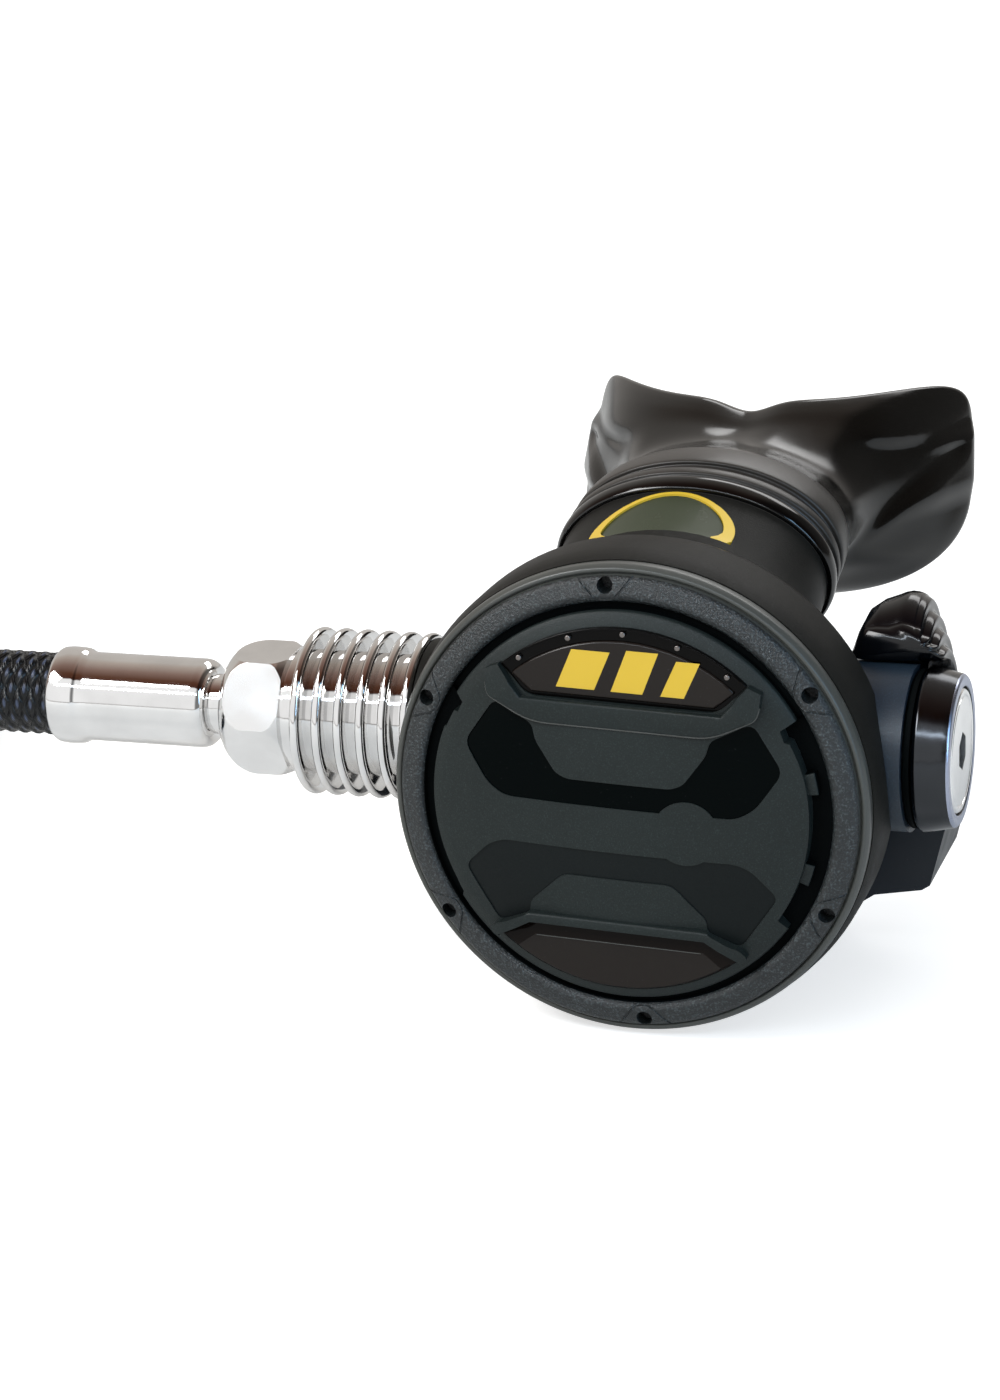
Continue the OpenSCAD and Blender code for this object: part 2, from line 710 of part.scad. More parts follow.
mouth_stations = [
    [40.5, 23.05, 19.4, 20.6, 14.9, 2, 2, 0, 0],
    [44.2, 24.35, 19.4, 20.6, 14.85, 2, 2, 0, 0],
    [44.8, 24.5, 19, 21.4, 15.4, 2, 2, 0, 0],
    [46.2, 24.9, 18, 21.4, 15.2, 2, 2, 0, 0],
    [46.8, 25.1, 17, 20.5, 14.3, 2, 2, 0, 0],
    [47.9, 25.4, 16, 20.5, 14.2, 2, 2, 0, 0],
    [48.5, 25.5, 16, 21.4, 14.9, 2, 2, 0, 0],
    [53, 26.3, 13, 21.2, 14.2, 2, 2, 0, 0],
    [57, 26.8, 10, 20.2, 12.9, 2, 2, 0.05, 0],
    [62, 26.7, 6, 19.8, 11.6, 2, 2, 0.25, 0.1],
    [66.5, 26.4, 3, 21, 11.8, 2.1, 2.3, 0.5, 0.5],
    [70.5, 26.2, 0, 24.4, 13, 2.4, 3.2, 0.75, 1.1],
    [73.6, 26, 0, 28.6, 14.7, 2.8, 4.8, 0.92, 1.6],
    [75.4, flange_z, 0, 31.4, 15.5, 3, 6.2, 1, 1.9],
    [76.6, flange_z, 0, 31.9, 15.8, 3.1, 6.5, 1, 2],
    [78, flange_z, 0, 31.7, 15.6, 3.1, 6.5, 1, 2],
    [78.6, flange_z, 0, 30.8, 14.9, 3, 6, 1, 1.8],
    [78.2, 26.3, 0, 22, 10.8, 2.4, 2.6, 1, 1],
    [78.8, 26.5, 0, 12.4, 7, 2.2, 2.2, 1, 0],
    [77.6, 26.6, 0, 11, 6, 2, 2, 0.9, 0],
    [70, 26.8, 3, 11.8, 6.6, 2, 2, 0.5, 0],
    [62, 26.8, 6, 14.4, 8.6, 2, 2, 0.2, 0],
    [55, 26.4, 11, 17.6, 11.6, 2, 2, 0, 0],
    [50.2, 25.9, 15, 17.9, 12.1, 2, 2, 0, 0],
    [49.4, 26.15, 19.4, 19.4, 13.75, 2, 2, 0, 0],
    [40.5, 23.05, 19.4, 19.5, 13.8, 2, 2, 0, 0]];

// A bite tab: a block behind each wing of the flange, with a ridge at its end
function tab_ring(k) =
    let (w = 4.6 - 0.8 * k, h = 3.4 + 1.2 * pow(k, 2))
    [for (p = oval(w, h, 16, 3)) let (x = 21.5 - 3 * k + p[0])
        [x, (1 - k) * (77.4 + bend(x, p[1])) + k * tab_back_y, 26.4 + p[1]]];

module mouthpiece() {
    color("#17110e") stand() {
        skin([for (st = mouth_stations) mouth_ring(st)], closed = true);
        for (s = [0, 1]) mirror([s, 0, 0]) skin([for (k = [0, 0.25, 0.5, 0.8, 0.95, 1]) tab_ring(k)]);
    }
}

module mouthpiece_clamp() {
    color("#0a0b0c") stand() skin([for (st = [[26.1, 20.65, 14.95], [26.1, 21, 15.3],
        [26.7, 21.5, 15.8], [27.8, 21.7, 16], [28.9, 21.5, 15.8], [29.5, 21, 15.3],
        [29.5, 20.65, 14.95]]) each neck_rings([st])], closed = true);
}

// ---------- hose, its fittings and its coil ----------

module hose_nut() {
    color("#dadcdf") stand() difference() {
        union() {
            intersection() {
                on_barrel() translate([-68.2, 0, 0]) rotate([27, 0, 0]) rotate([0, 90, 0])
                    cylinder(r = nut_flats / 2 / cos(30), h = 10.8, $fn = 6);
                barrel_turned([[0, -69], [6.2, -68.2], [8.2, -67.3], [9.7, -65.6], [10.4, -63.6],
                    [10.4, -59], [9.4, nut_end_x], [0, nut_end_x]]);
            }
            barrel_rod(8.7, nut_end_x, fins_left_x);
        }
        barrel_rod(7.15, nut_shoulder_x, fins_left_x + 1);
        barrel_rod(5, -70, -60);
    }
}

module hose_stem() {
    color("#d4d7da") stand() difference() {
        barrel_turned([[0, hose_in_ferrule_x], [4.6, hose_in_ferrule_x], [4.6, -67.8],
            [4.9, -67.8], [4.9, nut_shoulder_x], [7.05, nut_shoulder_x], [7.05, inlet_end_x],
            [5.3, inlet_end_x], [5.3, stem_o_ring_x - 0.7], [4.4, stem_o_ring_x - 0.7],
            [4.4, stem_o_ring_x + 0.7], [5.3, stem_o_ring_x + 0.7], [5.3, -59.2], [4.6, -58.6],
            [0, -58.6]]);
        barrel_rod(2.6, -80, -55, 48);
    }
}

module stem_o_ring() {
    color("#111111") stand() on_barrel() translate([stem_o_ring_x, 0, 0]) o_ring(4.9, 0.48);
}

// Ferrule crimped on a hose end: x runs from the open mouth to the small end
ferrule_len = 26;
ferrule_profile = [[0, 0], [6.95, 0], [7.4, 0.5], [7.55, 2], [7.4, 4.2], [7, 4.9], [6.85, 5.6],
    [6.85, 24], [6.6, 24.9], [5.9, 25.7], [4.7, ferrule_len], [0, ferrule_len]];
ferrule_bore_r = 6.6;

module ferrule_body(bore_len) {
    difference() {
        rotate([0, 90, 0]) rotate_extrude($fn = 96) polygon(ferrule_profile);
        translate([-1, 0, 0]) rotate([0, 90, 0]) cylinder(r = ferrule_bore_r, h = bore_len + 1);
        rotate([0, 90, 0]) cylinder(r = 4.6, h = ferrule_len + 1);
    }
}

module hose_ferrule() {
    color("#d4d7da") stand() translate([ferrule_end_x, 0, 0]) on_barrel()
        ferrule_body(hose_in_ferrule_x - ferrule_end_x);
}

// The coil's centre line: u is the distance along the ground from the coil's start
lead_points = [0, 8, 16, 22, 28];
tail_len = 13;
fitting_rise = 60;
coil_arc_mid_r = coil_r + coil_pitch * coil_turn / 720;
coil_centre = [coil_lead_x - tangent_u, barrel_y + coil_r];

function landing_h(u) = u < landing_u - 27.4 ? coil_lead_h - lead_slope * u :
    u < landing_u ? hose_rest_h + landing_r - sqrt(pow(landing_r, 2) - pow(landing_u - u, 2)) :
    hose_rest_h;
function ease(k) = k < 0 ? 0 : k > 1 ? 1 : k * k * (3 - 2 * k);
function coil_at(a) = let (r = coil_r + coil_pitch * a / 360, u = tangent_u + a * PI / 180 * coil_r,
    left = (coil_turn - a) * PI / 180 * coil_arc_mid_r)
    [coil_centre[0] - r * sin(a), coil_centre[1] - r * cos(a),
    landing_h(u) + (fitting_rest_h - hose_rest_h) * ease(1 - left / fitting_rise) - rim_r];
coil_out = [-cos(coil_turn), sin(coil_turn), 0];
coil_end = coil_at(coil_turn) + tail_len * coil_out;
coil_steps = round(coil_turn / 15);
COIL = concat(
    [for (u = lead_points) [coil_lead_x - u, barrel_y, landing_h(u) - rim_r]],
    [for (i = [0:coil_steps]) coil_at(coil_turn * i / coil_steps)],
    [coil_end]);

// Least clear distance between stretches of the coil that are over 60 mm apart along it
function cord_len(path, i, j) = j <= i ? 0 : norm(path[j] - path[j - 1]) + cord_len(path, i, j - 1);
fine = [for (i = [0:len(COIL) - 2], k = [0:0.25:0.75]) COIL[i] * (1 - k) + COIL[i + 1] * k];
coil_gap = min([for (i = [0:len(fine) - 26], j = [i + 25:len(fine) - 1]) norm(fine[i] - fine[j])])
    - hose_d;
echo(coil_gap = coil_gap, coil_length = cord_len(COIL, 0, len(COIL) - 1));

module hose() {
    path = [for (p = HOSE_ROUTE) [p[0], barrel_y, p[1] - rim_r]];
    color("#16171a") stand() sweep(path, hose_r, 12);
}

module hose_coil() {
    color("#16171a") stand() sweep(COIL, hose_r, 6);
}

ferrule_grip = 6;

module at_far_end() {
    translate(coil_end - ferrule_grip * coil_out) rotate([0, 0, 180 - coil_turn]) children();
}

module far_rod(r, x0, x1, sides = 96) {
    translate([x0, 0, 0]) rotate([0, 90, 0]) cylinder(r = r, h = x1 - x0, $fn = sides);
}

far_hex_x = ferrule_len + 1;
far_hex_end_x = far_hex_x + 8;
far_thread_len = 9;

module far_ferrule() {
    color("#d4d7da") stand() at_far_end() ferrule_body(ferrule_grip);
}

module far_fitting() {
    color("#dadcdf") stand() at_far_end() difference() {
        union() {
            far_rod(4.6, ferrule_grip, far_hex_x + 2);
            intersection() {
                rotate([30, 0, 0]) far_rod(16 / 2 / cos(30), far_hex_x, far_hex_end_x, 6);
                far_rod(8.9, far_hex_x - 1, far_hex_end_x + 1);
            }
            far_rod(3.8, far_hex_end_x - 2, far_hex_end_x + 4);
            far_rod(port_thread_d / 2, far_hex_end_x + 1.8, far_hex_end_x + 1.8 + far_thread_len);
        }
        far_rod(2.4, 0, 60, 48);
    }
}

module far_o_ring() {
    color("#111111") stand() at_far_end() translate([far_hex_end_x + 0.9, 0, 0]) o_ring(4.7, 0.88);
}

case_body();
cover_ring();
cover_plate();
diaphragm();
purge_spring();
purge_cover();
upper_bezel();
upper_lens();
upper_inlay();
lower_inlay();
lower_lens();
diaphragm_plate();
demand_lever();
valve_barrel();
heat_sink();
orifice();
orifice_o_ring();
poppet();
poppet_seat();
poppet_nut();
tail_o_ring();
poppet_spring();
spring_carrier();
barrel_o_ring_left();
barrel_o_ring_right();
barrel_nut();
adjust_screw();
screw_o_ring();
venturi_lever();
venturi_vane();
exhaust_valve();
exhaust_tee();
neck_badge_frame();
neck_badge_plate();
mouthpiece();
mouthpiece_clamp();
hose_nut();
hose_stem();
stem_o_ring();
hose_ferrule();
hose();
hose_coil();
far_ferrule();
far_fitting();
far_o_ring();
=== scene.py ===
"""Looks of the demand valve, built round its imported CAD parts.

Sizes are written in millimetres about the cover, as in the CAD source: the cover's axis is Y,
it faces -Y, the barrel runs along X and Z is up. placed() moves them onto the floor, in metres.
"""

import json
import math

import bmesh
import bpy
from mathutils import Matrix, Vector


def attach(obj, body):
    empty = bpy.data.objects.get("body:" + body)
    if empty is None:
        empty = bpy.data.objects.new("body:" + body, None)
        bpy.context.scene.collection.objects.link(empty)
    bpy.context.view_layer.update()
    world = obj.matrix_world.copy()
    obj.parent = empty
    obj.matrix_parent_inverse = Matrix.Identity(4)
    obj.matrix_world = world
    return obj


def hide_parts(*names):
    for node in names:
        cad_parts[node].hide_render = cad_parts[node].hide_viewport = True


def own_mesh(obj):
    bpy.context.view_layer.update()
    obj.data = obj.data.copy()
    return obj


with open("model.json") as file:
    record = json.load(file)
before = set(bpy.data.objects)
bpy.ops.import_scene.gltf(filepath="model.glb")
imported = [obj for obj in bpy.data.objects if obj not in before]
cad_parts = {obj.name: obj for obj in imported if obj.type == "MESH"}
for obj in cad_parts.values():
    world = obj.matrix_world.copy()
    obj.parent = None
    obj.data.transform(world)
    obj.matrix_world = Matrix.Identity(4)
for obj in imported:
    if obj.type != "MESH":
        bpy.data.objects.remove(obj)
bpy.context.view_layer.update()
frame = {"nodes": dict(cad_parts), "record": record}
NODES = frame["nodes"]
NODE_BODY = {n: body for body, names in frame["record"]["behaviour"]["bodies"].items() for n in names}
NODE_SLOT = {p["node"]: p["material_slot"] for p in frame["record"]["subparts"]}

SHIFT = Vector((10.3, -49.5, 35.9))
TO_FRAME = Matrix.Scale(0.001, 4) @ Matrix.Translation(SHIFT)
BARREL = Vector((0, 22, 4))


def placed(point):
    """A point about the cover, in millimetres, as a point of the frame, in metres."""
    return (Vector(point) + SHIFT) * 0.001


def add_object(name, data):
    obj = bpy.data.objects.new(name, data)
    bpy.context.scene.collection.objects.link(obj)
    return obj


# ---------- camera ----------

CAMERA_AT = (133.2817, -468.3375, 169.2966)
CAMERA_RIGHT = Vector((0.9541817, 0.2973698, -0.0332947))
CAMERA_UP = Vector((-0.0589135, 0.2957882, 0.9534351))
SENSOR_MM, FOCAL_PIXELS, FRAME_PIXELS = 36, 3621.189, 1400

camera_data = bpy.data.cameras.new("camera")
camera_data.lens = FOCAL_PIXELS / FRAME_PIXELS * SENSOR_MM
camera_data.sensor_width = SENSOR_MM
camera_data.clip_start, camera_data.clip_end = 0.01, 20
camera = add_object("camera", camera_data)
camera.matrix_world = Matrix.Translation(placed(CAMERA_AT)) @ Matrix(
    (CAMERA_RIGHT, CAMERA_UP, CAMERA_RIGHT.cross(CAMERA_UP))).transposed().to_4x4()
bpy.context.scene.camera = camera


# ---------- mesh helpers ----------

SHARP = 32
JOIN_DIST = 1e-4


def add_mesh(name, bm, materials=()):
    """A mesh object made from a drawn mesh, which is used up."""
    mesh = bpy.data.meshes.new(name)
    bm.to_mesh(mesh)
    bm.free()
    for material in materials:
        mesh.materials.append(material)
    return add_object(name, mesh)


def piece(name, bm, finish, stands_for=(), body="case", sharp=SHARP, fix_normals=True, second=None):
    """A finished piece from a mesh drawn about the cover. Edges that turn more than sharp stay crisp.

    Where there are two finishes, second says which faces, from their middle and normal, take the other.
    """
    if second:
        bm.normal_update()
        for face in bm.faces:
            face.material_index = 1 if second(face.calc_center_median(), face.normal) else 0
    bmesh.ops.transform(bm, matrix=TO_FRAME, verts=bm.verts)
    if fix_normals:
        bmesh.ops.recalc_face_normals(bm, faces=bm.faces)
    for face in bm.faces:
        face.smooth = True
    for edge in bm.edges:
        edge.smooth = len(edge.link_faces) == 2 and edge.calc_face_angle(0) < math.radians(sharp)
    finishes = finish if isinstance(finish, (list, tuple)) else [finish]
    obj = add_mesh(name, bm, [FINISH[f] for f in finishes])
    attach(obj, body)
    if stands_for:
        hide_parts(*stands_for)
    return obj


def round_edges(obj, width, segments, angle):
    """Round a piece's edges that turn more than an angle, with a width in millimetres."""
    bevel = obj.modifiers.new("rounding", "BEVEL")
    bevel.width, bevel.segments = width * 0.001, segments
    bevel.limit_method, bevel.angle_limit = "ANGLE", math.radians(angle)


def spun(profile, steps=192, axis="y", at=(0, 0, 0)):
    """A closed outline of (radius, distance along the axis) points, turned about that axis."""
    bm = bmesh.new()
    verts = [bm.verts.new((r, along, 0) if axis == "y" else (along, 0, r)) for r, along in profile]
    edges = [bm.edges.new((verts[i], verts[(i + 1) % len(verts)])) for i in range(len(verts))]
    bmesh.ops.spin(bm, geom=verts + edges, cent=(0, 0, 0), axis=(0, 1, 0) if axis == "y" else (1, 0, 0),
                   dvec=(0, 0, 0), angle=math.tau, steps=steps, use_merge=True)
    bmesh.ops.remove_doubles(bm, verts=bm.verts, dist=JOIN_DIST)
    # What lay along the axis has no faces
    for edge in [e for e in bm.edges if not e.link_faces]:
        bm.edges.remove(edge)
    bmesh.ops.translate(bm, vec=Vector(at), verts=bm.verts)
    return bm


def extruded(bm, faces, step):
    """Faces pulled out by a step into a closed solid."""
    made = bmesh.ops.extrude_face_region(bm, geom=faces, use_keep_orig=True)
    bmesh.ops.translate(bm, vec=step, verts=[v for v in made["geom"] if isinstance(v, bmesh.types.BMVert)])
    bmesh.ops.recalc_face_normals(bm, faces=bm.faces)


def wrapped(rings, closed=False):
    """A sheet wrapped round a list of rings, with the distance along it and round it as its UV map."""
    rows, columns = len(rings), len(rings[0])
    bm = bmesh.new()
    bm.loops.layers.uv.new("UVMap")
    bmesh.ops.create_grid(bm, x_segments=columns, y_segments=rows if closed else rows - 1, size=1, calc_uvs=True)
    bm.verts.ensure_lookup_table()
    for i, vert in enumerate(bm.verts):
        row, column = divmod(i, columns + 1)
        vert.co = rings[row % rows][column % columns]
    bmesh.ops.remove_doubles(bm, verts=bm.verts, dist=1e-5)
    if not closed:
        rim = [e for e in bm.edges if e.is_boundary]
        bmesh.ops.holes_fill(bm, edges=rim, sides=0)
    return bm


def softened(points, radius, steps=4):
    """An open outline with its corners rounded."""
    out = [Vector(points[0])]
    for before, corner, after in zip(points, points[1:], points[2:]):
        corner = Vector(corner)
        into, away = Vector(before) - corner, Vector(after) - corner
        reach = min(radius, into.length * 0.45, away.length * 0.45)
        start, end = corner + into.normalized() * reach, corner + away.normalized() * reach
        for i in range(steps + 1):
            k = i / steps
            out.append(start.lerp(corner, k).lerp(corner.lerp(end, k), k))
    out.append(Vector(points[-1]))
    return [tuple(p) for p in out]


def through(points, steps):
    """A smooth line through points, with that many steps between each two."""
    line = []
    for i in range(len(points) - 1):
        p0, p1, p2, p3 = (points[max(0, min(len(points) - 1, i + k))] for k in (-1, 0, 1, 2))
        for s in range(steps):
            t = s / steps
            line.append(0.5 * ((2 * p1) + (p2 - p0) * t + (2 * p0 - 5 * p1 + 4 * p2 - p3) * t * t
                               + (3 * p1 - p0 - 3 * p2 + p3) * t ** 3))
    return line + [points[-1]]


def eased(k):
    """0 to 1 with a gentle start and end."""
    k = max(0, min(1, k))
    return k * k * (3 - 2 * k)


def rod_rings(path, square_to, radius, sides):
    """Rings round a path that lies about square to a direction. radius takes a ring's and a corner's number."""
    rings = []
    for i, at in enumerate(path):
        ahead = (path[min(i + 1, len(path) - 1)] - path[max(i - 1, 0)]).normalized()
        side = ahead.cross(Vector(square_to)).normalized()
        up = side.cross(ahead)
        turns = [math.tau * j / sides for j in range(sides)]
        rings.append([at + radius(i, j) * (math.cos(a) * side + math.sin(a) * up) for j, a in enumerate(turns)])
    return rings


def bead(path, radius, sides=8):
    """A thin round rod bent along points of the cover's face."""
    return wrapped(rod_rings(path, (0, 1, 0), lambda i, j: radius, sides))


def polar(r, degrees):
    """A point seen from the front, from its radius and its angle counted from the right."""
    return r * math.cos(math.radians(degrees)), r * math.sin(math.radians(degrees))


def arc(r, start, end, steps=24):
    return [polar(r, start + (end - start) * i / steps) for i in range(steps + 1)]


def mirrored(half):
    """A half outline, from its middle to its right, with its mirror image at the left."""
    return list(half) + [(-x, z) for x, z in reversed(half) if x > 0]


def softened_loop(points, radius):
    """A closed outline with its corners rounded."""
    return softened([points[-1], *points, points[0]], radius)[1:-1]


def slab(outline, y_front, y_back, turn=0.0, rounding=0.0, axis="y"):
    """A block with an outline seen from the front, or from above, turned about the cover's axis."""
    bm = bmesh.new()
    face = bm.faces.new([bm.verts.new((x, y_front, z) if axis == "y" else (x, z, y_front)) for x, z in outline])
    rim = list(face.edges)
    extruded(bm, [face], (0, y_back - y_front, 0) if axis == "y" else (0, 0, y_back - y_front))
    if rounding:
        bmesh.ops.bevel(bm, geom=rim, offset=rounding, segments=3, profile=0.5, affect="EDGES", material=-1)
    bmesh.ops.rotate(bm, cent=(0, 0, 0), matrix=Matrix.Rotation(-turn, 3, "Y"), verts=bm.verts)
    return bm


def pin(radius, y_front, y_back, at, sides=24, rounding=0.0):
    """A short round pin along the cover's axis."""
    bm = bmesh.new()
    bmesh.ops.create_cone(bm, cap_ends=True, segments=sides, radius1=radius, radius2=radius, depth=y_back - y_front)
    if rounding:
        rim = [e for e in bm.edges if all(v.co.z > 0 for v in e.verts)]
        bmesh.ops.bevel(bm, geom=rim, offset=rounding, segments=3, profile=0.5, affect="EDGES", material=-1)
    bmesh.ops.transform(bm, matrix=Matrix.Translation((at[0], (y_front + y_back) / 2, at[1]))
                        @ Matrix.Rotation(math.radians(90), 4, "X"), verts=bm.verts)
    return bm


def gathered(parts):
    """Several meshes as one."""
    whole = bmesh.new()
    for part in parts:
        mesh = bpy.data.meshes.new("part")
        part.to_mesh(mesh)
        part.free()
        whole.from_mesh(mesh)
        bpy.data.meshes.remove(mesh)
    return whole


def shaped(bm, tool, operation="DIFFERENCE"):
    """A closed mesh with another taken away from it, added to it, or kept where the two meet."""
    for each in (bm, tool):
        bmesh.ops.recalc_face_normals(each, faces=each.faces)
    work, knife = add_mesh("shaping", bm), add_mesh("shaping", tool)
    boolean = work.modifiers.new("shaping", "BOOLEAN")
    boolean.object, boolean.operation, boolean.solver = knife, operation, "EXACT"
    result = bmesh.new()
    result.from_object(work, bpy.context.evaluated_depsgraph_get())
    for obj in (work, knife):
        mesh = obj.data
        bpy.data.objects.remove(obj)
        bpy.data.meshes.remove(mesh)
    bmesh.ops.remove_doubles(result, verts=result.verts, dist=JOIN_DIST)
    return result


def joined_copy(node, rounding=0.0, extra=(), second=None):
    """A CAD node's mesh with its corners joined, so that it shades smoothly and can be rounded."""
    bm = bmesh.new()
    bm.from_mesh(NODES[node].data)
    bmesh.ops.remove_doubles(bm, verts=bm.verts, dist=2e-6)
    bmesh.ops.transform(bm, matrix=TO_FRAME.inverted(), verts=bm.verts)
    obj = piece(node + "_finished", bm, [NODE_SLOT[node], *extra], [node], NODE_BODY[node], fix_normals=False,
                second=second)
    if rounding:
        round_edges(obj, rounding, 2, SHARP)
    steady = obj.modifiers.new("steady_shading", "WEIGHTED_NORMAL")
    steady.keep_sharp = True
    return obj


# ---------- finishes ----------


class Nodes:
    """Short hand for adding nodes to a tree and joining them."""

    def __init__(self, tree):
        self.tree = tree

    def add(self, kind, **settings):
        node = self.tree.nodes.new(kind)
        for key, value in settings.items():
            setattr(node, key, value)
        return node

    def link(self, a, b):
        self.tree.links.new(a, b)

    def feed(self, socket, value):
        """Set a socket to a number, or link it to another socket."""
        if isinstance(value, (int, float)):
            socket.default_value = value
        else:
            self.link(value, socket)

    def math(self, operation, a, b=None):
        node = self.add("ShaderNodeMath", operation=operation)
        self.feed(node.inputs[0], a)
        if b is not None:
            self.feed(node.inputs[1], b)
        return node.outputs[0]

    def ramp(self, value, low, high, to_low=0.0, to_high=1.0):
        node = self.add("ShaderNodeMapRange")
        sockets = ("Value", "From Min", "From Max", "To Min", "To Max")
        for name, v in zip(sockets, (value, low, high, to_low, to_high)):
            self.feed(node.inputs[name], v)
        return node.outputs[0]

    def noise(self, where, scale, detail=2.0, roughness=0.5):
        node = self.add("ShaderNodeTexNoise")
        for name, v in zip(("Vector", "Scale", "Detail", "Roughness"), (where, scale, detail, roughness)):
            self.feed(node.inputs[name], v)
        return node.outputs["Fac"]

    def blend(self, mask, a, b):
        """A colour between two, each a colour or a socket."""
        node = self.add("ShaderNodeMix", data_type="RGBA")
        for name, colour in (("A", a), ("B", b)):
            if isinstance(colour, tuple):
                node.inputs[name].default_value = (*colour, 1)
            else:
                self.link(colour, node.inputs[name])
        self.link(mask, node.inputs["Factor"])
        return node.outputs["Result"]


def new_group(name, inputs, outputs):
    tree = bpy.data.node_groups.new(name, "ShaderNodeTree")
    for label, kind, value in inputs:
        socket = tree.interface.new_socket(label, in_out="INPUT", socket_type="NodeSocket" + kind)
        if value is not None:
            socket.default_value = value
    for label, kind in outputs:
        tree.interface.new_socket(label, in_out="OUTPUT", socket_type="NodeSocket" + kind)
    n = Nodes(tree)
    return tree, n, n.add("NodeGroupInput").outputs, n.add("NodeGroupOutput").inputs


def grain_group():
    """Moulded grain: a fine height and pale flecks, with a slow drift of the roughness. The pale flecks are partly
    the plastic's own speckle and partly painted glints of light on the grain.
    """
    tree, n, given, out = new_group("moulded_grain", [
        ("Place", "Vector", None), ("Grain size", "Float", 0.0003), ("Base", "Color", (0.05, 0.05, 0.05, 1)),
        ("Fleck", "Float", 0.3), ("Low", "Float", 0.35), ("High", "Float", 0.55)],
        [("Color", "Color"), ("Roughness", "Float"), ("Height", "Float")])
    scale = n.math("DIVIDE", 1.0, given["Grain size"])
    fine = n.noise(given["Place"], scale, 3.0, 0.6)
    coarse = n.noise(given["Place"], 55.0, 3.0)
    flecks = n.ramp(fine, 0.52, 0.78)
    amount = n.math("MULTIPLY", flecks, given["Fleck"])
    light = n.math("ADD", amount, n.ramp(coarse, 0.3, 0.7, 0.88, 1.1))
    tint = n.add("ShaderNodeVectorMath", operation="SCALE")
    n.link(given["Base"], tint.inputs[0])
    n.link(light, tint.inputs["Scale"])
    n.link(tint.outputs[0], out["Color"])
    n.link(n.ramp(coarse, 0.3, 0.7, given["Low"], given["High"]), out["Roughness"])
    n.link(fine, out["Height"])
    return tree


def wear_group():
    """Handling marks: soft smears in the gloss and a few fine dust specks."""
    tree, n, given, out = new_group("handling", [
        ("Place", "Vector", None), ("Gloss", "Float", 0.1), ("Smear", "Float", 0.1), ("Dust", "Float", 0.02)],
        [("Roughness", "Float"), ("Mask", "Float"), ("Height", "Float")])
    smear = n.noise(given["Place"], 90.0, 4.0, 0.62)
    speck = n.ramp(n.noise(given["Place"], 2600.0, 1.0), 0.74, 0.8)
    spread = n.math("MULTIPLY", n.ramp(smear, 0.42, 0.72), given["Smear"])
    dust = n.math("MULTIPLY", speck, given["Dust"])
    n.link(n.math("ADD", n.math("ADD", given["Gloss"], spread), dust), out["Roughness"])
    n.link(dust, out["Mask"])
    n.link(smear, out["Height"])
    return tree


def turned_group():
    """Tool marks of a lathe: fine rings along X and a slow wave in the polish."""
    tree, n, given, out = new_group("lathe_marks", [
        ("Place", "Vector", None), ("Pitch", "Float", 0.0001)], [("Height", "Float"), ("Mask", "Float")])
    split = n.add("ShaderNodeSeparateXYZ")
    n.link(given["Place"], split.inputs[0])
    line = n.math("DIVIDE", split.outputs["X"], given["Pitch"])
    wobble = n.math("MULTIPLY", n.noise(given["Place"], 300.0), 0.3)
    n.link(n.math("SINE", n.math("ADD", line, wobble)), out["Height"])
    n.link(n.ramp(n.noise(given["Place"], 180.0, 4.0), 0.35, 0.7), out["Mask"])
    return tree


GRAIN, WEAR, LATHE = grain_group(), wear_group(), turned_group()
FINISH = {}


def start_finish(slot, specular, metallic=0.0):
    material = bpy.data.materials.new(slot)
    material.use_nodes = True
    shader = material.node_tree.nodes["Principled BSDF"]
    shader.inputs["Specular IOR Level"].default_value = specular
    shader.inputs["Metallic"].default_value = metallic
    FINISH[slot] = material
    n = Nodes(material.node_tree)
    return n, shader, n.add("ShaderNodeTexCoord").outputs["Object"]


def use_group(n, tree, place, **values):
    node = n.add("ShaderNodeGroup", node_tree=tree)
    n.link(place, node.inputs["Place"])
    for key, value in values.items():
        node.inputs[key.replace("_", " ")].default_value = value
    return node.outputs


def cover_shader(n, shader, colour, roughness, height, distance):
    """Give a shader its colour, roughness and bump."""
    bump = n.add("ShaderNodeBump")
    bump.inputs["Strength"].default_value = 1.0
    bump.inputs["Distance"].default_value = distance
    n.link(height, bump.inputs["Height"])
    n.link(colour, shader.inputs["Base Color"])
    n.link(roughness, shader.inputs["Roughness"])
    n.link(bump.outputs["Normal"], shader.inputs["Normal"])


def moulded(slot, colour, size, fleck, low, high, bump, specular=0.5):
    """Moulded plastic or rubber with a grain."""
    n, shader, place = start_finish(slot, specular)
    got = use_group(n, GRAIN, place, Grain_size=size, Base=(*colour, 1), Fleck=fleck, Low=low, High=high)
    cover_shader(n, shader, got["Color"], got["Roughness"], got["Height"], bump)


def polished(slot, colour, gloss, smear, dust, specular=0.5):
    """Polished plastic, lacquer or silicone with handling marks."""
    n, shader, place = start_finish(slot, specular)
    got = use_group(n, WEAR, place, Gloss=gloss, Smear=smear, Dust=dust)
    dusty = n.blend(got["Mask"], colour, tuple(min(1, c + 0.25) for c in colour))
    cover_shader(n, shader, dusty, got["Roughness"], got["Height"], 0.00002)


def metal(slot, colour, low, high, pitch, bump):
    """Turned metal."""
    n, shader, place = start_finish(slot, 0.5, 1.0)
    got = use_group(n, LATHE, place, Pitch=pitch)
    shade = n.blend(got["Mask"], colour, tuple(c * 0.9 for c in colour))
    cover_shader(n, shader, shade, n.ramp(got["Mask"], 0, 1, low, high), got["Height"], bump)


